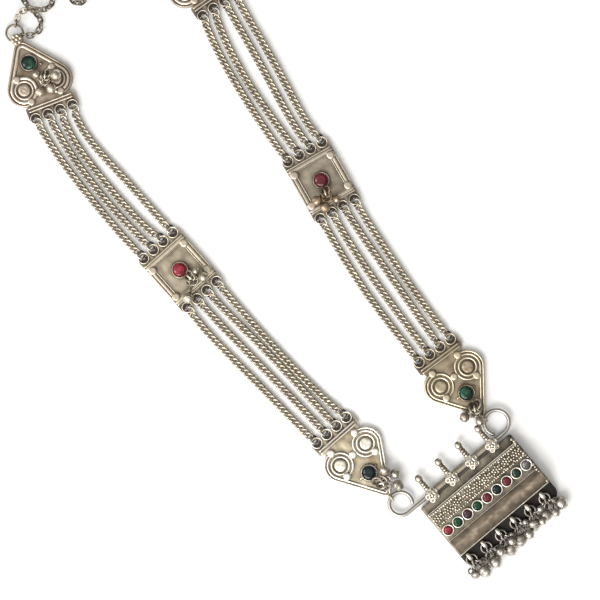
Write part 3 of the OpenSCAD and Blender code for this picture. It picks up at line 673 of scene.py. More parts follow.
def pointed_outline(middle, lobes, tip, tip_r, sides):
    """The edge of a heart or drop plaque: as far as each ray from the middle reaches over its two lobes, its
    tip and the straight sides, which touch them at the angles given."""
    touch = [lobe + LOBE_R * toward(radians(a)) for lobe, a in zip(lobes, sides)]
    tip_touch = [tip + tip_r * toward(radians(a)) for a in sides]
    top = -5.5
    corners = [(BAND_HALF, top), (-BAND_HALF, top), lobes[0], touch[0], *tip_touch, touch[1], lobes[1]]
    circles = [(*lobe, LOBE_R) for lobe in lobes] + [(*tip, tip_r)]
    angles = np.linspace(0, 2 * pi, 1440, endpoint=False)
    outline = middle + ray_reach(middle, angles, circles, corners)[:, None] * toward(angles)
    return even(np.vstack([outline, outline[:1]]), EDGE_STEP)[:-1]


def lobe_boss(on, heart, top, seed):
    """The ringed boss of a lobe, placed by a matrix: a wire ring, a thin ring painted dark in the gap inside
    it as tarnish and shade, and the boss, which on a drop carries a curl of wire round a grain."""
    parts = [
        ring(LOBE_RING_R, LOBE_WIRE_R, 48).placed(on).shaded(PLATE_H + 0.1, PLATE_H + 0.42, -0.9),
        # A thin ring painted dark fills the gap: tarnish and painted shade
        ring(3.35, 0.22, 36, 8).placed(on).deep(0.7),
        boss(3.1, 0.8, top, seed).placed(on),
    ]
    if not heart:
        curl = ring(1.75, 0.32, 32, 8).placed(on @ shift(0, 0, 0.85))
        grain = ball(0.6, 6, 12, 0.7).placed(on @ shift(0, 0, 0.8))
        parts += [curl.shaded(PLATE_H + 0.8, PLATE_H + 1.1, -0.8), grain.deep(-0.6)]
    return joined(parts)


def pointed_plaque(name, settings):
    """A heart or drop plaque, with its eyelets along y = 0 and its tip towards -Y. The outer border wire
    starts at the top of one lobe and runs round its outside, the tip and the other lobe. The inner one curls
    right round both lobes, from one lower shot to the other."""
    kind = name.split("_")[0]
    heart = kind == "heart"
    field, shot_top, boss_top = LOOKS[name][:3]
    reach, lobe_y, tip_r, lean = REACHES[name], LOBES_Y[kind], TIPS_R[kind], LEANS[kind]

    def at(x, y):
        """A place on the plaque, with the drops' lean to one side."""
        return np.array((x - y * lean, y))

    lobes = [at(-LOBE_X, -lobe_y), at(LOBE_X, -lobe_y)]
    tip = at(0, tip_r - reach)
    sides = [edge_angle(lobes[0], LOBE_R, tip, tip_r, -1) % 360, edge_angle(lobes[1], LOBE_R, tip, tip_r, 1)]
    middle = at(0, -lobe_y - 1.5)
    outline = pointed_outline(middle, lobes, tip, tip_r, sides)

    def border(inset, start):
        """The middle line of a border wire, that far inside the outline, from an angle on its first lobe."""
        around = LOBE_R - inset
        return even(np.vstack([
            arc(lobes[0], around, start, sides[0]),
            arc(tip, tip_r - inset, sides[0], sides[1] + 360, 0.3),
            arc(lobes[1], around, sides[1], 180 - start),
        ]), 0.5)

    wire_r = settings.border_wire / MM / 2
    # The border wires: their lines, their widths against the outer one's and the depth on top
    outer = (border(0.55, 86), 1.0, -0.9 if heart else -0.1)
    inner = (border(2.05 if heart else 2.2, -99), 1.0 if heart else 1.45, -0.9)
    parts, features = [], []
    for line, width, top in (outer, inner):
        wire = rod(lifted(line, PLATE_H + 0.12), wire_r * width, 12, 0.95 / width, 0.06)
        parts.append(wire.shaded(PLATE_H + 0.16, PLATE_H + 0.46, top))
        features.append((line, wire_r * width))
    parts.append(eyelet_row(6.3).placed(turn(180)))
    for y in BANDS_Y:
        ends = ((-BAND_HALF, -y), (BAND_HALF, -y))
        parts.append(bar(*ends, PLATE_H + 0.2))
        features.append((even(np.array(ends), 0.6), 0.5))
    for k, lobe in enumerate(lobes):
        parts.append(lobe_boss(shift(*lobe, PLATE_H), heart, boss_top, k + len(name)))
        features.append((arc(lobe, LOBE_RING_R, 0, 345, 0.5), LOBE_WIRE_R))
        features.append((lobe[None], 3.3))
    shots = [(-7.8, -8.6), (7.8, -8.6), (-9.4, -lobe_y - 6.2), (9.4, -lobe_y - 6.2)] + [(0, -16.2)] * heart
    for x, y in shots:
        parts.append(shot(2.05, 1.5, shot_top).placed(shift(*at(x, y), PLATE_H - 0.2)))
        features.append((at(x, y)[None], 1.9))
    stone = stone_place(name)
    parts.append(setting(name))
    features.append((np.array([stone]), STONE_R + 0.7))
    for x, y in ((-4.9, 0.4), (4.9, 0.4), (0, -5.4)) if heart else ((-5.2, 2.4),):
        grain = at(x, y + stone[1])
        parts.append(ball(0.8, 7, 12, 0.8).placed(shift(*grain, PLATE_H + 0.1)).deep(0.05))
        features.append((grain[None], 0.75))
    parts.append(carrier_staple(name))
    if heart:
        loop = ring(1.9, 0.45, 32).placed(shift(0, -reach - 1.3, HANG_Z) @ turn(90, "Y"))
        parts.append(loop.shaded(0.6, 3.5))
    else:
        parts.append(rosette(2.9, 0.2, 4.2).placed(shift(*at(0, -reach - 1.6))))
    parts.append(plate(middle, outline, features, field * settings.tarnish, len(name) + int(reach)))
    return joined(parts)


def square_plaque(name, settings):
    """A square plaque, placed by its middle: a plate with three bars at each end, three rails at each side
    between the corner shots, a setting in the middle and a row of eyelets at each end."""
    field, shot_top = LOOKS[name][:2]
    half_w, half_l = SQUARE_W / 2, BAR_Y + 1.2
    corners = [(half_w, -half_l), (half_w, half_l), (-half_w, half_l), (-half_w, -half_l)]
    outline = even(np.array(corners + corners[:1], float), EDGE_STEP)[:-1]
    # The bars across and the rails: how far in they lie, their width, how far they rise and the depth on top
    bars = ((0.7, 0.9, 0.5, -0.9), (2.15, 2.0, 0.36, -0.45), (3.45, 0.5, 0.35, -0.6))
    rails = ((0.4, 0.7, 0.4, -0.5), (1.85, 1.9, 0.4, -0.35), (3.3, 0.7, 0.4, -0.9))
    rail_end = half_l - 3.9
    shot_x, shot_y = 10.4, 8.7
    parts = []
    # The second feature, below the stone, paints a crescent of shade under its tall setting
    features = [(np.zeros((1, 2)), STONE_R + 0.7), (np.array([(0.3, -1.0)]), STONE_R + 0.5)]
    for s in (-1, 1):
        parts.append(eyelet_row(4.4).placed(turn(180 if s > 0 else 0) @ shift(0, -SQUARE_L / 2)))
        for inset, width, rise, top in bars:
            y = s * (half_l - inset)
            parts.append(bar((0.2 - half_w, y), (half_w - 0.2, y), PLATE_H + 0.1, width, rise, top))
            features.append((even(np.array([(-half_w, y), (half_w, y)]), 0.6), width / 2))
        for inset, width, rise, top in rails:
            x = s * (half_w - inset)
            parts.append(bar((x, -rail_end), (x, rail_end), PLATE_H + 0.1, width, rise, top))
            features.append((even(np.array([(x, -rail_end), (x, rail_end)]), 0.6), width / 2))
        for t in (-1, 1):
            parts.append(shot(2.2, 1.35, shot_top).placed(shift(s * shot_x, t * shot_y, PLATE_H - 0.2)))
            features.append((np.array([(s * shot_x, t * shot_y)]), 2.15))
    parts += [setting(name), carrier_staple(name)]
    parts.append(plate(np.zeros(2), outline, features, field * settings.tarnish, len(name)))
    return joined(parts)


# Curb chains

def along(at, x, y=0.0):
    """A place given in a row's own frame, in the frame of the whole lay."""
    angle = radians(at[2])
    return np.array((at[0] + x * cos(angle) - y * sin(angle), at[1] + x * sin(angle) + y * cos(angle)))


# The eyelet rows at which the chains of the upper and of the lower runs start and end, on each side
RUN_ENDS = {"upper": ("drop_{}", "square_{}_top"), "lower": ("square_{}_foot", "heart_{}")}


def runs():
    """The four runs of curb chains, each from a row of eyelets to the next: rows as x, y and their turn."""
    rows = {}
    for side in ("left", "right"):
        x, y, angle = PLACES["drop_" + side]
        square = PLACES["square_" + side]
        top = (*along(square, 0, SQUARE_L / 2), square[2])
        foot = (*along(square, 0, -SQUARE_L / 2), square[2])
        rows["upper_" + side] = ((x, y, angle - 180), top)
        rows["lower_" + side] = (foot, PLACES["heart_" + side])
    return rows


def swayed(sway, t):
    """The sideways lie at a way t from 0 to 1: the curve of degree four through 0, the three known values at
    a quarter, half and three quarters, and 0."""
    knots = np.array((0, 0.25, 0.5, 0.75, 1))
    return np.polyval(np.polyfit(knots, (0, *sway, 0), 4), t)


def curb_link(settings):
    """One link of curb chain: a wire along the line a cos t, b sin t, -h sin 2t, so that it lies flat and yet
    passes over one neighbour and under the other."""
    t = np.arange(settings.link_steps) * 2 * pi / settings.link_steps
    wire_r = settings.wire / MM / 2
    a = settings.link_length / MM / 2 - wire_r
    b = settings.width / MM / 2 - wire_r
    h = settings.height / MM / 2 - wire_r
    line = np.stack([a * np.cos(t), b * np.sin(t), -h * np.sin(2 * t)], -1)
    link = swept(line, disc(wire_r), closed=True)
    # Tarnish and painted shade: the lower strands, under the upper ones, are dark, and the upper ones are a
    # little polished
    top = h + wire_r
    return link.shaded(-0.5 * top, 0.62 * top, -0.32)


def curb_chain(run, sway, k, settings):
    """A whole chain: copies of one link at even distances along the swayed line between two jump rings, each
    turned to the line's heading and rolled a little. Its ends are lifted to the jump rings."""
    start, end = along(run[0], eyelet_x(k)), along(run[1], eyelet_x(k))
    apart = np.linalg.norm(end - start)
    margin = settings.first_link / MM / apart
    t = np.linspace(margin, 1 - margin, 400)
    ahead = (end - start) / apart
    side = np.array((-ahead[1], ahead[0]))
    line = start + (end - start) * t[:, None] + swayed(sway, t)[:, None] * side - LAY_MID
    way = ways(line)
    links = int(round(way[-1] / (settings.pitch / MM))) + 1
    at = np.linspace(0, way[-1], links)
    x, y = (np.interp(at, way, line[:, axis]) for axis in (0, 1))
    heading = np.degrees(np.interp(at, way, np.unwrap(np.arctan2(*np.gradient(line, axis=0).T[::-1]))))
    rng = np.random.default_rng(int(apart * 10) + k)
    roll = 8 * ripple(np.column_stack([at, 0 * at]), 24.0, k + int(apart)) + rng.uniform(-3, 3, links)
    swing = rng.uniform(-2.5, 2.5, links)
    clear, end_lift, end_reach = 0.17, 0.4, 2.5
    to_end = np.minimum(at, at[-1] - at)
    rest = settings.height / MM / 2 + clear + end_lift * np.exp(-to_end / end_reach)
    matrices = [shift(px, py, pz) @ turn(a) @ turn(r, "X") for px, py, pz, a, r in
                zip(x, y, rest, heading + swing, roll)]
    return copies(curb_link(settings), matrices)


def jump_rings(start, end):
    """The four jump rings of the eyelets at start, each leading to its eyelet at end and leaning over."""
    places = []
    for k in range(4):
        eyelet = along(start, eyelet_x(k))
        way = along(end, eyelet_x(k)) - eyelet
        middle = eyelet + JUMP_OUT * way / np.linalg.norm(way) - LAY_MID
        places.append(shift(*middle, STRIP_Z) @ turn(degrees(atan2(way[1], way[0]))) @ turn(JUMP_TILT, "X"))
    return copies(ring(JUMP_R, JUMP_WIRE_R, 32, 10), places).shaded(STRIP_Z - 0.4, STRIP_Z + 1.3, -0.7)


# The box amulet

def hump(start, end, rise, steps):
    """A low arch between two points of a section: the straight line plus rise times 1 - (2t - 1)^2."""
    t = np.linspace(0, 1, steps)
    line = np.outer(1 - t, start) + np.outer(t, end)
    line[:, 1] += rise * (1 - (2 * t - 1) ** 2)
    return line


def box_section():
    """The side view of the box, counted as minus the way down it and the height: along the back, up the top
    edge, and over ledge, face and apron to the foot."""
    valley = FACE_Z - 0.6
    return np.vstack([
        hump((-BOX_L, 0), (-0.4, 0), 0, 6),
        [(-0.12, 0.1), (0, 0.4)],
        hump((0, 1.2), (0, LEDGE_Z - 0.4), 0, 3),
        [(-0.12, LEDGE_Z - 0.1)],
        hump((-0.5, LEDGE_Z), (-LEDGE_L, LEDGE_Z), 0, 5),
        [(-LEDGE_L - 0.05, FACE_Z - 0.4)],
        hump((-LEDGE_L - 0.3, FACE_Z), (-BULGE_Y + 0.3, FACE_Z), 0, 34),
        hump((-BULGE_Y, valley), (-APRON_Y + 0.9, valley), 0, 4),
        hump((-APRON_Y + 0.7, FACE_Z - 0.1), (-APRON_Y, FACE_Z - 0.3), 0, 2),
        hump((-APRON_Y - 0.05, APRON_Z), (-BOX_L + 0.4, FOOT_Z + 0.15), 0, 16),
        [(-BOX_L + 0.1, FOOT_Z - 0.05), (-BOX_L, FOOT_Z - 0.35)],
    ])


def spread(count, pitch, offset=0.0):
    """Places at even distances along X, round the offset."""
    return offset + (np.arange(count) - (count - 1) / 2) * pitch


def box_shell(features, settings):
    """The box itself: its section carried along X, a little smaller towards both ends so that its corners are
    round, with shallow dents in its face and apron."""
    section = box_section()
    ends = np.array((0.48, 0.494, 0.5))
    x = np.concatenate([-ends[::-1], np.linspace(-0.465, 0.465, 170), ends]) * BOX_W
    inset = 0.55 * np.clip((np.abs(x) - 0.478 * BOX_W) / (0.022 * BOX_W), 0, 1) ** 2
    middle = np.array((-BOX_L / 2, 2.4))
    half = np.array((BOX_L / 2, 3.2))
    sections = middle + (section - middle) * (1 - inset[:, None, None] / half)
    path = np.column_stack([x, 0 * x, 0 * x])
    shell = swept(path, sections)
    px, py, pz = shell.points.T
    down = -py
    face = (pz > FACE_Z - 0.3) & (down > LEDGE_L) & (down < BULGE_Y)
    apron = (down > APRON_Y) & (pz > 1.2)
    flat = shell.points[:, :2]
    dents = np.maximum(ripple(flat, 11.0, 3), 0) + 0.4 * np.maximum(ripple(flat, 4.5, 4), 0)
    shell.points[:, 2] -= (face * 0.6 + apron) * settings.dents / MM * dents
    # The apron is painted much darker than the face, as tarnish and painted shade under the bells; both grow
    # darker towards +X, and the feet of all soldered parts are dark
    foot = 1.1 * np.exp(-(gap_from(features, flat) / 0.5) ** 2)
    patch = 0.5 + 0.5 * ripple(flat, 12.0, 9)
    dull = 0.55 * np.clip(px / BOX_W + 0.12, 0, 1)
    rest = np.where(apron, 1.05 + 0.2 * patch, 0.32 + 0.25 * patch)
    shade = np.where(face, 0.30 + 0.2 * patch, rest) + dull
    shell.depth = np.maximum(shade, 0.75 * foot * (face | apron))
    # Both lower corners are round: points beyond a quarter circle are drawn in to it
    corner = np.stack([np.abs(px) - (BOX_W / 2 - CORNER_R), down - (BOX_L - CORNER_R)], -1)
    over = CORNER_R / np.maximum(np.hypot(*np.maximum(corner, 0).T), CORNER_R)
    drawn = (corner > 0).all(1)
    shell.points[drawn, 0] -= (np.sign(px) * corner[:, 0] * (1 - over))[drawn]
    shell.points[drawn, 1] += (corner[:, 1] * (1 - over))[drawn]
    return shell


def bulge(settings):
    """The half-round tube across the box: an arch carried along X and beaten in by nine dents. A dent is a
    bell curve; the dents are darker than the crests between them, as tarnish and painted shade."""
    foot_z, rise, end_y = FACE_Z - 0.35, 1.85, -BULGE_Y - BULGE_L
    section = np.vstack([hump((-BULGE_Y, foot_z), (end_y, foot_z), rise, 26),
                         [(end_y + 0.3, FACE_Z - 1), (-BULGE_Y - 0.3, FACE_Z - 1)]])
    x = np.linspace(0.7 - BOX_W / 2, BOX_W / 2 - 0.7, 190)
    tube = swept(np.column_stack([x, 0 * x, 0 * x]), section)
    rng = np.random.default_rng(21)
    # Where the dents lie, and how wide and deep they are
    count = 9
    places = np.column_stack([
        spread(count, 6.2) + rng.uniform(-2.0, 2.0, count), -BULGE_Y - rng.uniform(1.0, 7.0, count)])
    widths = rng.uniform(2.6, 5.5, count)
    depths = rng.uniform(0.4, 1.2, count) * settings.dents / MM * 2.4
    flat = tube.points[:, :2]
    away = ((flat[:, None] - places[None]) ** 2).sum(-1) / widths ** 2
    dent = (depths * np.exp(-away)).sum(1) + 0.02 * ripple(flat, 2.6, 5)
    arch = np.clip((tube.points[:, 2] - foot_z) / rise, 0, 1)
    tube.points[:, 2] -= dent * (arch > 0.02)
    # Wear has brightened patches. A painted highlight lies in a band below the top of the arch, the top is
    # painted lighter than the flanks, the dents darker as tarnish and painted shade, and the tube grows
    # darker towards +X
    painted_highlight = np.exp(-((flat[:, 1] + BULGE_Y + 3.4 + 0.8 * ripple(flat[:, :1], 18.0, 4)) / 0.8) ** 2)
    patches = 0.14 * ripple(flat, 11.0, 2) + 0.08 * ripple(flat, 3.0, 6)
    wear = patches + 0.45 * painted_highlight - 0.25 * flat[:, 0] / BOX_W
    tube.depth = np.clip(0.42 - 0.24 * arch ** 2 + 0.45 * dent - wear, -0.4, 1)
    return tube


def floret():
    """A flower of grains pressed into the face: one in the middle and six round it."""
    petals = [turn(a) @ shift(1.5, 0) for a in range(0, 360, 60)]
    return joined([ball(0.85, 7, 12), copies(ball(0.8, 6, 12), petals)])


def spike():
    """A beaded spike that points to +Y, with a ball on its end: the profile takes the widest of a core, five
    flattened beads and the ball at each place."""
    ball_y, ball_r, core_r, flat = 8.2, 1.95, 1.05, 2.1
    ball_rows = ball_y - ball_r * np.cos(np.radians(np.linspace(14, 168, 20)))
    along_y = np.concatenate([np.linspace(0, 6.4, 46), ball_rows])
    radius = np.full(len(along_y), core_r)
    for middle, bead_r, flatness in ((0.4, 1.6, flat), (1.8, 1.6, flat), (3.3, 1.55, flat), (4.8, 1.5, flat),
                                     (6.3, 1.3, flat), (ball_y, ball_r, 1)):
        inside = np.maximum(bead_r ** 2 - (along_y - middle) ** 2 * flatness, 0)
        radius = np.maximum(radius, np.sqrt(inside))
    radius[-1] = 0.5
    shape = lathed(np.column_stack([radius, along_y]), 20)
    wide = np.hypot(*shape.points[:, :2].T)
    shape.depth = np.clip((1.42 - wide) * 2.6, -0.4, 1)
    return shape.placed(turn(-90, "X"))


def frieze():
    """The grains pressed into the box's face: nine florets, six grains between each two of them, a row above
    and below, and a row down the right end. Returns the surface and the places of the single grains."""
    rng = np.random.default_rng(8)
    count, pitch = BOX_STONES[:2]
    florets = [shift(x, -FRIEZE_Y + 0.1, FACE_Z) @ turn(rng.uniform(0, 60)) for x in spread(count, pitch)]
    between = ((0, 2.2), (-0.75, 0.8), (0.8, 0.5), (-0.7, -0.9), (0.7, -1.1), (0, -2.3))
    row_pitch, end_pitch = 1.25, 1.5
    seats = [(x + dx, -FRIEZE_Y + dy) for x in spread(count + 1, pitch) for dx, dy in between]
    row = np.arange(-FACE_HALF + 0.7, FACE_HALF - 0.4, row_pitch)
    seats += [(x + rng.uniform(-0.2, 0.2), -FRIEZE_Y + dy) for x in row for dy in (3.15, -3.2)]
    end = np.arange(-2.2, -BULGE_Y - BULGE_L, -end_pitch)
    seats += [(FACE_HALF - 0.5 + rng.uniform(-0.3, 0.3), y) for y in end]
    seats = [seat for seat in seats if abs(seat[0]) < FACE_HALF - 0.2]
    sizes = rng.uniform(0.75, 1.25, len(seats))
    grains = [shift(x, y, FACE_Z) @ np.diag((size, size, size * 0.85, 1))
              for (x, y), size in zip(seats, sizes)]
    return joined([
        copies(floret(), florets).shaded(FACE_Z - 0.3, FACE_Z + 0.6, -0.3),
        copies(ball(0.74, 6, 10), grains).shaded(FACE_Z - 0.3, FACE_Z + 0.55, -0.35),
    ]), np.array(seats)


def box_trim():
    """All that is soldered to the box: ridges, frieze, settings, lugs, spikes and staples. Returns the
    surface, and the lines at whose feet the shell is dark."""
    parts, features = [], []
    # The ridges: how far down they lie, their height and their width
    for down, z, width in ((LEDGE_L + 0.3, FACE_Z + 0.15, 0.7), (LEDGE_L + 1.15, FACE_Z + 0.15, 0.7),
                           (BULGE_Y - 0.35, FACE_Z + 0.05, 0.5), (APRON_Y - 0.35, FACE_Z - 0.05, 0.75),
                           (BOX_L - 1.0, FOOT_Z + 0.45, 0.5)):
        on_foot = down > APRON_Y
        reach = FACE_HALF - 2.4 * on_foot
        line = even(np.array([(-reach, -down), (reach, -down)]), 0.8)
        parts.append(rod(lifted(line, z), width / 2, 10, 1.1, 0.1).shaded(z + 0.05, z + 0.3, -0.8))
        features.append((line, width / 2))
    grains, seats = frieze()
    parts.append(grains)
    features.append((seats, 0.05))
    rim = bezel(BOX_STONE_R + 0.12, BOX_STONE_R + 0.85, 1.55, 0.6)
    for x in spread(*BOX_STONES):
        parts.append(rim.placed(shift(x, -STONES_Y, FACE_Z - 0.1)))
        features.append((np.array([(x, -STONES_Y)]), BOX_STONE_R + 0.75))
    lugs = spread(*LUGS)
    spike_z = 3.9
    parts.append(copies(scroll_rosette(0.4, 5.2), [shift(x, LUG_Y) for x in lugs]))
    parts.append(copies(spike(), [shift(x, SPIKE_Y, spike_z) for x in lugs]))
    # Short tubes round the hanger wire, between the lugs
    tube = ((1.15, 3.7), (1.15, -3.7), (1.7, -3.8), (1.95, -3.6), (1.95, 0), (1.95, 3.6), (1.7, 3.8))
    tubes = copies(lathed(tube, 28, closed=True).placed(turn(90, "Y")), [
        shift((a + b) / 2, HANGER_Y, HANG_Z) for a, b in zip(lugs, lugs[1:])])
    parts.append(tubes.shaded(HANG_Z + 0.2, HANG_Z + 1.9, -0.15))
    band_width = 1.9
    for x in spread(*BOX_STAPLES):
        at = shift(x, -STAPLE_Y, BOX_STAPLE_Z) @ turn(90, "Y") @ np.diag((1, 1, band_width, 1))
        band = ring(STAPLE_R, STAPLE_WIRE_R, 28, 12).placed(at)
        # The top of each staple is bright as polished wear and a painted highlight
        parts.append(band.shaded(BOX_STAPLE_Z - 0.5, BOX_STAPLE_Z + 1.9, -1.0))
        features.append((np.array([(x, y - STAPLE_Y) for y in (-1.6, -0.8, 0, 0.8, 1.6)]), 0.6))
    return joined(parts), features


def box_bells():
    """Six rings, each in its staple and leaning a little. Each carries three bells, with small dark rings
    between them, given by their x, y, turn and lean."""
    carrier = ring(BOX_RING_R, CARRIER_WIRE_R, 36).shaded(-0.1, 0.6, 0.3)
    small = ((-1.6, -3.4, 30, 38), (1.8, -3.6, 110, -36), (0.2, -1.4, 75, 55), (-3.9, -4.6, 160, 30),
             (0.1, -5.3, 80, 28), (4.2, -4.9, 20, -32))
    places = [shift(x, y) @ turn(a) @ turn(lean, "X") for x, y, a, lean in small]
    # The small rings are tarnished and painted in shade low down
    dark = copies(ring(1.5, 0.45, 22, 8), places).shaded(-0.6, 2.2, 0.25)
    ring_lean = 12
    clusters = []
    for x, bells in zip(spread(*BOX_STAPLES), BOX_BELLS):
        at = shift(x, 0.5 - STAPLE_Y, BOX_STAPLE_Z) @ turn(ring_lean, "X") @ shift(0, -BOX_RING_R)
        hung = [hung_bell(BOX_RING_R, *bell_at) for bell_at in bells]
        clusters.append(joined([carrier, dark] + hung).placed(at))
    return joined(clusters)


# Shader node groups and materials

# Where a Mix node has its sockets for colours: the factor, both colours and the result
MIX_PLACES = (0, 6, 7)
MIX_RESULT = 2


def feed(tree, socket, value):
    """Links a socket into another one, or sets the other one to a plain value."""
    if isinstance(value, bpy.types.NodeSocket):
        tree.links.new(value, socket)
    else:
        socket.default_value = value


def add_node(tree, kind, **inputs):
    """A new node. Keys that are properties of the node set those. Each other key is an input socket, with _
    for a space, and takes a plain value or another node's socket."""
    made = tree.nodes.new(kind)
    for key, value in inputs.items():
        if hasattr(made, key):
            setattr(made, key, value)
        else:
            feed(tree, made.inputs[key.replace("_", " ")], value)
    return made


def group_of(name, inputs, outputs):
    """An empty shader node group with named sockets, each given as its name and type."""
    group = bpy.data.node_groups.new(name, "ShaderNodeTree")
    for socket, kind in inputs:
        group.interface.new_socket(name=socket, in_out="INPUT", socket_type=kind)
    for socket, kind in outputs:
        group.interface.new_socket(name=socket, in_out="OUTPUT", socket_type=kind)
    return group, group.nodes.new("NodeGroupInput"), group.nodes.new("NodeGroupOutput")


def mixed(tree, factor, first, second):
    """A Mix node for colours. The factor and the colours are sockets or plain values."""
    mix = add_node(tree, "ShaderNodeMix", data_type="RGBA")
    for place, value in zip(MIX_PLACES, (factor, first, second)):
        feed(tree, mix.inputs[place], value)
    return mix.outputs[MIX_RESULT]


def sum_of(tree, operation, *values, clamp=False):
    """A Math node over sockets or plain values."""
    made = add_node(tree, "ShaderNodeMath", operation=operation, use_clamp=clamp)
    for socket, value in zip(made.inputs, values):
        feed(tree, socket, value)
    return made.outputs[0]


def noise(tree, place, scale, detail=3.0, roughness=0.55, stretch=None):
    """A noise texture on a place socket, its coordinates stretched if asked."""
    if stretch:
        place = add_node(tree, "ShaderNodeMapping", Vector=place, Scale=stretch).outputs["Vector"]
    made = add_node(tree, "ShaderNodeTexNoise", Vector=place, Scale=scale, Detail=detail, Roughness=roughness)
    return made.outputs["Fac"]


def aged_silver_group():
    """Old silver: clean metal, stained metal and black tarnish, mixed by the depth attribute, by the height
    above the surface and by noise. The depth and the height also carry painted shade and painted highlights.
    It puts out the colour, the roughness, how metallic it is, and the height of its fine dents and scratches."""
    if "Aged silver" in bpy.data.node_groups:
        return bpy.data.node_groups["Aged silver"]
    colour, number = "NodeSocketColor", "NodeSocketFloat"
    tree, given, out = group_of(
        "Aged silver",
        [("Polished", colour), ("Clean", colour), ("Stained", colour), ("Tarnish", colour),
         ("Low", number), ("High", number), ("Stain Scale", number), ("Bias", number)],
        [("Color", colour), ("Roughness", number), ("Metallic", number), ("Height", number)],
    )
    place = tree.nodes.new("ShaderNodeTexCoord").outputs["Object"]
    depth = add_node(tree, "ShaderNodeAttribute", attribute_name="depth").outputs["Fac"]
    height = add_node(tree, "ShaderNodeSeparateXYZ", Vector=place).outputs["Z"]
    by_height = add_node(tree, "ShaderNodeMapRange", Value=height, From_Min=given.outputs["Low"],
                         From_Max=given.outputs["High"], To_Min=1.0, To_Max=0.0).outputs["Result"]
    large = noise(tree, place, given.outputs["Stain Scale"], 4.0, 0.5)
    fine = noise(tree, place, 1500.0, 2.0)
    scratches = noise(tree, place, 900.0, 2.0, 0.6, (1.0, 6.0, 1.0))
    stain = sum_of(tree, "MULTIPLY_ADD", large, 2.6, -0.85, clamp=True)
    speckle = sum_of(tree, "MULTIPLY_ADD", fine, 1.4, -0.7)
    # Tarnish and painted shade come from the depth and the height; depth below 0 paints polished metal and
    # painted highlights
    deepest = sum_of(tree, "MAXIMUM", depth, by_height)
    deepest = sum_of(tree, "ADD", deepest, given.outputs["Bias"])
    uneven = sum_of(tree, "MULTIPLY_ADD", large, 0.5, -0.25)
    recess = sum_of(tree, "ADD", deepest, uneven)
    recess = sum_of(tree, "MULTIPLY_ADD", speckle, 0.25, recess, clamp=True)
    polish_and_highlight = sum_of(tree, "MULTIPLY", depth, -1.0, clamp=True)
    metal = mixed(tree, stain, given.outputs["Clean"], given.outputs["Stained"])
    metal = mixed(tree, polish_and_highlight, metal, given.outputs["Polished"])
    tree.links.new(mixed(tree, recess, metal, given.outputs["Tarnish"]), out.inputs["Color"])
    rough = sum_of(tree, "MULTIPLY_ADD", stain, 0.16, 0.27)
    rough = sum_of(tree, "MULTIPLY_ADD", recess, 0.25, rough)
    tree.links.new(sum_of(tree, "MULTIPLY_ADD", fine, 0.1, rough, clamp=True), out.inputs["Roughness"])
    tree.links.new(sum_of(tree, "MULTIPLY_ADD", recess, -0.6, 1.0, clamp=True), out.inputs["Metallic"])
    marks = sum_of(tree, "MULTIPLY_ADD", scratches, 0.35, large)
    tree.links.new(sum_of(tree, "MULTIPLY_ADD", fine, 0.3, marks), out.inputs["Height"])
    return tree


def glass_group():
    """The depth of a glass stone: its depth attribute mixes a painted reflection of the foil, the body's
    colour and painted shade under the rim, and noise clouds them."""
    if "Stone depth" in bpy.data.node_groups:
        return bpy.data.node_groups["Stone depth"]
    colour, number = "NodeSocketColor", "NodeSocketFloat"
    tree, given, out = group_of(
        "Stone depth",
        [("Light", colour), ("Body", colour), ("Dark", colour)],
        [("Color", colour), ("Roughness", number)],
    )
    place = tree.nodes.new("ShaderNodeTexCoord").outputs["Object"]
    depth = add_node(tree, "ShaderNodeAttribute", attribute_name="depth").outputs["Fac"]
    cloud = noise(tree, place, 500.0)
    clouded = sum_of(tree, "MULTIPLY_ADD", cloud, 0.9, -0.45)
    clouded = sum_of(tree, "ADD", clouded, depth)
    # Painted reflection where the depth is low, painted shade where it is high
    light = sum_of(tree, "MULTIPLY_ADD", clouded, -1.9, 0.9, clamp=True)
    dark = sum_of(tree, "MULTIPLY_ADD", clouded, 1.6, -0.6, clamp=True)
    body = mixed(tree, dark, given.outputs["Body"], given.outputs["Dark"])
    tree.links.new(mixed(tree, light, body, given.outputs["Light"]), out.inputs["Color"])
    tree.links.new(sum_of(tree, "MULTIPLY_ADD", cloud, 0.12, 0.02), out.inputs["Roughness"])
    return tree


def shader_base(name):
    """A new material, its node tree and its Principled shader."""
    material = bpy.data.materials.new(name)
    material.use_nodes = True
    tree = material.node_tree
    return material, tree, tree.nodes["Principled BSDF"]


def fed_by(tree, shader, group, colours):
    """A node of a group, given its colours, that feeds the shader's own colour and roughness."""
    node = add_node(tree, "ShaderNodeGroup", node_tree=group)
    for socket, colour in colours.items():
        node.inputs[socket].default_value = (*colour, 1)
    tree.links.new(node.outputs["Color"], shader.inputs["Base Color"])
    tree.links.new(node.outputs["Roughness"], shader.inputs["Roughness"])
    return node


def silver(name, finish, low=-1.0, high=-0.9, scale=140.0, bias=0.0, bump=0.25, look=None):
    """A silver material from the finish's colours, or from a look's polished, clean and stained metal and,
    where it has its own, its tarnish. Below the height low it is all tarnish and painted shade, and above
    high none of that comes from height, both in millimetres."""
    if name in bpy.data.materials:
        return bpy.data.materials[name]
    material, tree, shader = shader_base(name)
    colours = (*(look or (finish.polished, finish.clean, finish.stained)), finish.tarnish)
    colours = dict(zip(("Polished", "Clean", "Stained", "Tarnish"), colours))
    metal = fed_by(tree, shader, aged_silver_group(), colours)
    for socket, value in (("Low", low * MM), ("High", high * MM), ("Stain Scale", scale), ("Bias", bias)):
        metal.inputs[socket].default_value = value
    dents = add_node(tree, "ShaderNodeBump", Strength=bump, Distance=0.0002, Height=metal.outputs["Height"])
    tree.links.new(metal.outputs["Metallic"], shader.inputs["Metallic"])
    tree.links.new(dents.outputs["Normal"], shader.inputs["Normal"])
    return material


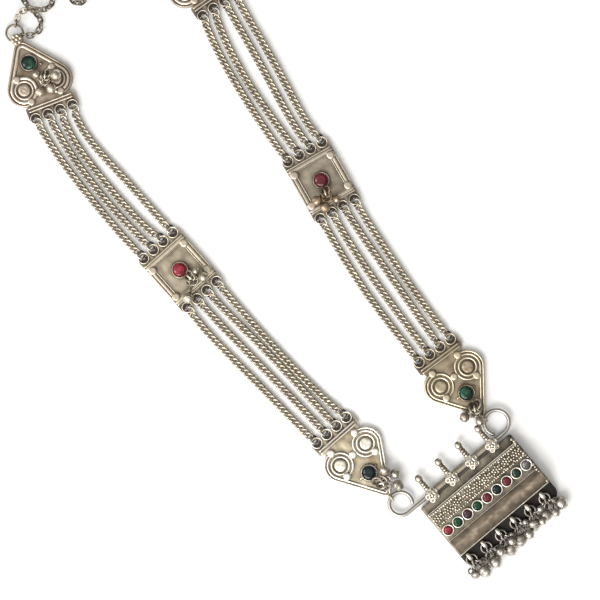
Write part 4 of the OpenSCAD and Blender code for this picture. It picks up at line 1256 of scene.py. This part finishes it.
def glass(name, light, body, dark):
    """A glass stone over foil: deep in colour, with a clear coat."""
    if name in bpy.data.materials:
        return bpy.data.materials[name]
    material, tree, shader = shader_base(name)
    fed_by(tree, shader, glass_group(), {"Light": light, "Body": body, "Dark": dark})
    for socket, value in (("IOR", 1.52), ("Specular IOR Level", 0.15), ("Coat Weight", 0.35),
                          ("Coat Roughness", 0.03)):
        shader.inputs[socket].default_value = value
    return material


# The painted reflection of the foil, the body's colour and the painted shade of each glass, as linear light
GLASSES = {
    "glass_red": ((0.52, 0.075, 0.105), (0.27, 0.022, 0.036), (0.08, 0.008, 0.014)),
    "glass_dark_red": ((0.30, 0.06, 0.085), (0.15, 0.018, 0.028), (0.045, 0.006, 0.010)),
    "glass_green": ((0.05, 0.20, 0.12), (0.008, 0.040, 0.024), (0.003, 0.011, 0.008)),
    "glass_bright_green": ((0.03, 0.20, 0.075), (0.005, 0.060, 0.022), (0.002, 0.016, 0.008)),
    "glass_purple": ((0.15, 0.065, 0.085), (0.060, 0.027, 0.036), (0.018, 0.009, 0.011)),
    "glass_black": ((0.030, 0.060, 0.066), (0.008, 0.017, 0.019), (0.002, 0.004, 0.005)),
    "glass_clear": ((0.62, 0.59, 0.58), (0.14, 0.115, 0.12), (0.04, 0.033, 0.035)),
}
STONE_GLASSES = {
    "heart_left": "glass_black", "heart_right": "glass_green", "square_left": "glass_red",
    "square_right": "glass_dark_red", "drop_left": "glass_green", "drop_right": "glass_green",
}
BOX_GLASSES = ("glass_red", "glass_bright_green", "glass_purple", "glass_bright_green", "glass_dark_red",
               "glass_black", "glass_dark_red", "glass_green", "glass_clear")


# Settings

class FinishSettings(bpy.types.PropertyGroup):
    """Colours of the old silver, as linear light."""

    # The polished colour also paints highlights, and the tarnish colour painted shade, where the depth or the
    # height asks for them
    polished: FloatVectorProperty(name="Polished", description="Metal that wear keeps bright",
                                  subtype="COLOR", default=(0.93, 0.89, 0.80), min=0, max=1)
    clean: FloatVectorProperty(name="Clean", description="Open metal", subtype="COLOR",
                               default=(0.52, 0.46, 0.35), min=0, max=1)
    stained: FloatVectorProperty(name="Stained", description="Metal with a brown stain", subtype="COLOR",
                                 default=(0.27, 0.215, 0.15), min=0, max=1)
    tarnish: FloatVectorProperty(name="Tarnish", description="Black in the recesses", subtype="COLOR",
                                 default=(0.040, 0.030, 0.021), min=0, max=1)


class CurbSettings(bpy.types.PropertyGroup):
    """Sizes of the curb chains."""

    wire: FloatProperty(name="Wire", description="Thickness of a link's wire", unit="LENGTH", default=0.0012)
    link_length: FloatProperty(name="Link length", description="Length of a link over its ends",
                               unit="LENGTH", default=0.0049)
    width: FloatProperty(name="Width", description="Width of a chain as it lies", unit="LENGTH",
                         default=0.0040)
    height: FloatProperty(name="Height", description="Height of a chain as it lies", unit="LENGTH",
                          default=0.0023)
    pitch: FloatProperty(name="Pitch", description="Distance from one link to the next", unit="LENGTH",
                         default=0.0026)
    first_link: FloatProperty(name="First link", description="Distance of the first link from its eyelet",
                              unit="LENGTH", default=0.00515)
    link_steps: IntProperty(name="Steps", description="Rows of faces round a link", default=24, min=12,
                            max=60)


class PlaqueSettings(bpy.types.PropertyGroup):
    """Sizes of the plaques' soldered wires."""

    border_wire: FloatProperty(name="Border wire", description="Thickness of the wires round the plaques",
                               unit="LENGTH", default=0.0012)
    tarnish: FloatProperty(name="Tarnish", description="How much of its tarnish each open plate has",
                           default=1.0, min=0, max=2)


class BoxSettings(bpy.types.PropertyGroup):
    """Sizes of the box amulet's wear."""

    dents: FloatProperty(name="Dents", description="Depth of the dents in the box", unit="LENGTH",
                         default=0.00022)


class StageSettings(bpy.types.PropertyGroup):
    """The camera and the light."""

    camera_height: FloatProperty(name="Camera height", description="Height of the camera above the surface",
                                 unit="LENGTH", default=1.2)
    view_width: FloatProperty(name="View width", description="Width of the surface that the camera sees",
                              unit="LENGTH", default=0.3)
    roll: FloatProperty(name="Roll", description="Turn of the camera about its line of sight",
                        subtype="ANGLE", default=radians(-40))
    glow: FloatProperty(name="Glow", description="Light from the surface itself, which lifts the shadows",
                        default=0.1, min=0)
    key: FloatProperty(name="Key light", description="Power of the main light", default=10.0, min=0)
    fill: FloatProperty(name="Fill light", description="Brightness of the surroundings", default=1.0, min=0)


# Operators

class NECKLACE_OT_stage(bpy.types.Operator):
    """Lay the pale surface, light it softly and set the camera over it"""

    bl_idname = "necklace.stage"
    bl_label = "Stage"

    def execute(self, context):
        sizes = context.scene.necklace_stage
        middle = (-LAY_MID[0] * MM, -LAY_MID[1] * MM)
        just_below = -0.00005
        bpy.ops.mesh.primitive_plane_add(size=4.0, location=(0, 0, just_below))
        floor = context.object
        floor.name = "surface"
        material, _, shader = shader_base("pale_surface")
        for socket, value in (("Base Color", (0.93, 0.93, 0.93, 1)), ("Roughness", 0.9),
                              ("Emission Color", (1.0, 0.995, 0.985, 1)), ("Emission Strength", sizes.glow),
                              ("Specular IOR Level", 0.1)):
            shader.inputs[socket].default_value = value
        floor.data.materials.append(material)

        camera = bpy.data.cameras.new("camera")
        camera.angle = 2 * atan(sizes.view_width / 2 / sizes.camera_height)
        item = bpy.data.objects.new("camera", camera)
        item.location = (*middle, sizes.camera_height)
        item.rotation_euler = (0, 0, sizes.roll)
        context.scene.collection.objects.link(item)
        context.scene.camera = item

        right = np.array((cos(sizes.roll), sin(sizes.roll), 0))
        up = np.array((-sin(sizes.roll), cos(sizes.roll), 0))
        # The lamps: how far they stand across and up the view and above the surface, their size and power
        for name, across, along_view, height, size, power in (
            ("key", -0.25, -0.78, 0.70, 0.8, sizes.key),
            ("side", -0.95, -0.1, 0.55, 0.5, sizes.key * 0.35),
        ):
            light = bpy.data.lights.new(name, "AREA")
            light.shape = "DISK"
            light.size = size
            light.energy = power
            lamp = bpy.data.objects.new(name, light)
            way = Vector(across * right + along_view * up + (0, 0, height))
            lamp.location = way + Vector((*middle, 0))
            lamp.rotation_euler = way.to_track_quat("Z", "Y").to_euler()
            context.scene.collection.objects.link(lamp)

        world = bpy.data.worlds.new("studio")
        world.use_nodes = True
        tree = world.node_tree
        sky = tree.nodes["Background"]
        sky.inputs["Strength"].default_value = sizes.fill
        # The surroundings are brightest in one direction, and dark at right angles to it and behind
        bright_way = add_node(tree, "ShaderNodeVectorMath", operation="DOT_PRODUCT")
        bright_way.inputs[1].default_value = Vector(-0.38 * right - 0.4 * up + (0, 0, 0.83)).normalized()
        tree.links.new(tree.nodes.new("ShaderNodeTexCoord").outputs["Generated"], bright_way.inputs[0])
        ramp = add_node(tree, "ShaderNodeValToRGB", Fac=bright_way.outputs["Value"])
        shades = ramp.color_ramp.elements
        shades[0].color = (0.11, 0.104, 0.096, 1)
        shades[1].color = (1.0, 0.985, 0.95, 1)
        shades.new(0.5).color = (0.36, 0.345, 0.32, 1)
        shades.new(0.8).color = (0.90, 0.88, 0.85, 1)
        seen = tree.nodes.new("ShaderNodeLightPath").outputs["Is Camera Ray"]
        backdrop = mixed(tree, seen, ramp.outputs["Color"], (0.80, 0.79, 0.77, 1))
        tree.links.new(backdrop, sky.inputs["Color"])
        context.scene.world = world
        context.scene.view_settings.view_transform = "Standard"
        return {"FINISHED"}


class NECKLACE_OT_plaques(bpy.types.Operator):
    """Make the two hearts, the two squares and the two drops"""

    bl_idname = "necklace.plaques"
    bl_label = "Plaques"

    def execute(self, context):
        finish, sizes = context.scene.necklace_finish, context.scene.necklace_plaque
        for name, look in LOOKS.items():
            metal = silver("aged_" + name, finish, bump=0.35, look=look[3:])
            surface = (square_plaque if name.startswith("square") else pointed_plaque)(name, sizes)
            piece("plaque_" + name, surface.placed(lay(name)), metal, "plaque_silver", name)
        return {"FINISHED"}


class NECKLACE_OT_curb_chains(bpy.types.Operator):
    """Make the sixteen curb chains between the plaques, and the jump rings at their ends"""

    bl_idname = "necklace.curb_chains"
    bl_label = "Curb chains"

    def execute(self, context):
        finish = silver("aged_curb", context.scene.necklace_finish, scale=300.0, bump=0.15,
                        look=((0.90, 0.84, 0.71), (0.56, 0.49, 0.37), (0.30, 0.25, 0.175)))
        # The jump rings carry extra tarnish, which also paints the shade down in the eyelet holes
        dark = silver("aged_rings", context.scene.necklace_finish, scale=300.0, bump=0.15, bias=0.15)
        for run, rows in runs().items():
            part, side = run.split("_")
            for end, (start, goal) in zip(RUN_ENDS[part], (rows, rows[::-1])):
                end = end.format(side)
                piece("jump_" + end, jump_rings(start, goal), dark, "ring_wire", "rings_" + end)
            for k, sway in enumerate(SWAYS[run]):
                name = f"curb_{run}_{k + 1}"
                surface = curb_chain(rows, sway, k, context.scene.necklace_curb)
                piece("links_" + name, surface, finish, "curb_silver", name)
        return {"FINISHED"}


class NECKLACE_OT_bells(bpy.types.Operator):
    """Make the bells of the plaques and of the box"""

    bl_idname = "necklace.bells"
    bl_label = "Bells"

    def execute(self, context):
        finish = context.scene.necklace_finish
        for name, bells in BELLS.items():
            metal = silver("aged_bells_" + name, finish, scale=220.0, bump=0.2, look=BELL_LOOKS[name])
            x, y, angle = CARRIERS[name]
            carrier = ring(CARRIER_R, CARRIER_WIRE_R, 36).shaded(0, 0.42, -0.3)
            dark = knot(angle, 1.3 if name.startswith("heart") else 1.0)
            surface = joined([carrier, dark] + [hung_bell(CARRIER_R, *bell_at) for bell_at in bells])
            surface = surface.placed(lay(name) @ shift(x, y, CARRIER_Z))
            piece("cluster_" + name, surface, metal, "bell_silver", "bells_" + name)
        metal = silver("aged_bells_box", finish, scale=220.0, bump=0.2, look=BELL_LOOKS["box"])
        piece("cluster_box", box_bells().placed(lay("box")), metal, "bell_silver", "amulet_bells")
        return {"FINISHED"}


class NECKLACE_OT_box(bpy.types.Operator):
    """Make the box amulet: its shell, its dented tube and all that is soldered to it"""

    bl_idname = "necklace.box"
    bl_label = "Box amulet"

    def execute(self, context):
        finish = context.scene.necklace_finish
        sizes = context.scene.necklace_box
        trim, features = box_trim()
        copper = silver("aged_tube", finish, scale=260.0, bump=0.5,
                        look=((0.80, 0.72, 0.60), (0.46, 0.38, 0.29), (0.25, 0.195, 0.14)))
        dull = silver("aged_box", finish, scale=200.0, bump=0.45, look=(
            (0.90, 0.86, 0.78), (0.50, 0.44, 0.34), (0.25, 0.20, 0.145), (0.020, 0.017, 0.014)))
        bright = silver("aged_trim", finish, scale=260.0, bump=0.25)
        at = lay("box")
        piece("box_shell", box_shell(features, sizes).placed(at), dull, "box_silver", "amulet_box")
        piece("box_tube", bulge(sizes).placed(at), copper, "box_silver", "amulet_box")
        piece("box_trim", trim.placed(at), bright, "box_silver", "amulet_box")
        return {"FINISHED"}


class NECKLACE_OT_stones(bpy.types.Operator):
    """Cut the glass stones of the plaques and of the box"""

    bl_idname = "necklace.stones"
    bl_label = "Stones"

    def execute(self, context):
        cuts = [(name, colour, lay(name) @ shift(*stone_place(name), PLATE_H + 0.1),
                 cut_stone(STONE_R, 1.2, 1.1, len(name))) for name, colour in STONE_GLASSES.items()]
        for k, (x, colour) in enumerate(zip(spread(*BOX_STONES), BOX_GLASSES)):
            cuts.append((f"amulet_{k + 1}", colour, lay("box") @ shift(x, -STONES_Y, FACE_Z + 0.1),
                         cut_stone(BOX_STONE_R + 0.1, 0.8, 0.8, k)))
        for name, colour, at, stone in cuts:
            piece("cut_" + name, stone.placed(at), glass("cut_" + colour, *GLASSES[colour]),
                  colour.replace("dark_", ""), "stone_" + name, sharp=4)
        return {"FINISHED"}


def hanger():
    """The wire through the lugs, bent round into an open loop at each end: its top carries a painted
    highlight and its sides painted shade."""
    y = PLACES["box"][1] + HANGER_Y
    path = np.vstack([arc(middle, middle[1] - y, start, end, 0.5) for middle, start, end in HANGER_LOOPS])
    wire = rod(lifted(path - LAY_MID, HANG_Z), HANGER_R, 14)
    return wire.shaded(HANG_Z, HANG_Z + 0.9, -0.7)


class NECKLACE_OT_wires(bpy.types.Operator):
    """Make the hanger wire, and give the neck chain and its end rings their silver"""

    bl_idname = "necklace.wires"
    bl_label = "Rings and neck chain"

    def execute(self, context):
        finish = context.scene.necklace_finish
        # Below 0.6 mm the neck chain is all tarnish and painted shade, fading out by 3.2 mm
        links = silver("aged_link", finish, 0.6, 3.2, scale=400.0, bump=0.15, bias=0.05)
        grey = silver("aged_hanger", finish, scale=200.0, bump=0.15,
                      look=((0.66, 0.63, 0.57), (0.40, 0.37, 0.33), (0.24, 0.215, 0.18)))
        piece("hanger", hanger(), grey, "hanger_wire", "hanger_wire")
        for name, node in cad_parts.items():
            if name.startswith(("neck_", "tail_", "end_")):
                for material_slot in node.material_slots:
                    material_slot.material = links
        return {"FINISHED"}


class NECKLACE_PT_panel(bpy.types.Panel):
    """Lists the necklace's pieces in the sidebar of the 3D view"""

    bl_idname = "NECKLACE_PT_panel"
    bl_label = "Village silver necklace"
    bl_space_type = "VIEW_3D"
    bl_region_type = "UI"
    bl_category = "Necklace"

    def draw(self, context):
        for operator in OPERATORS:
            self.layout.operator(operator.bl_idname)
        for group in SETTINGS:
            box = self.layout.box()
            for name in SETTINGS[group].__annotations__:
                box.prop(getattr(context.scene, group), name)


SETTINGS = {
    "necklace_finish": FinishSettings,
    "necklace_curb": CurbSettings,
    "necklace_plaque": PlaqueSettings,
    "necklace_box": BoxSettings,
    "necklace_stage": StageSettings,
}
OPERATORS = (
    NECKLACE_OT_stage, NECKLACE_OT_plaques, NECKLACE_OT_curb_chains, NECKLACE_OT_bells, NECKLACE_OT_box,
    NECKLACE_OT_stones, NECKLACE_OT_wires,
)


def register():
    """Adds the settings, the operators and the panel to Blender."""
    for name, settings in SETTINGS.items():
        bpy.utils.register_class(settings)
        setattr(bpy.types.Scene, name, PointerProperty(type=settings))
    for made in (*OPERATORS, NECKLACE_PT_panel):
        bpy.utils.register_class(made)


def unregister():
    """Takes them out again."""
    for made in reversed((*OPERATORS, NECKLACE_PT_panel)):
        bpy.utils.unregister_class(made)
    for name, settings in reversed(SETTINGS.items()):
        delattr(bpy.types.Scene, name)
        bpy.utils.unregister_class(settings)


def main():
    """Builds the whole necklace."""
    register()
    bpy.ops.necklace.stage()
    bpy.ops.necklace.plaques()
    bpy.ops.necklace.curb_chains()
    bpy.ops.necklace.bells()
    bpy.ops.necklace.box()
    bpy.ops.necklace.stones()
    bpy.ops.necklace.wires()


if __name__ == "__main__":
    main()
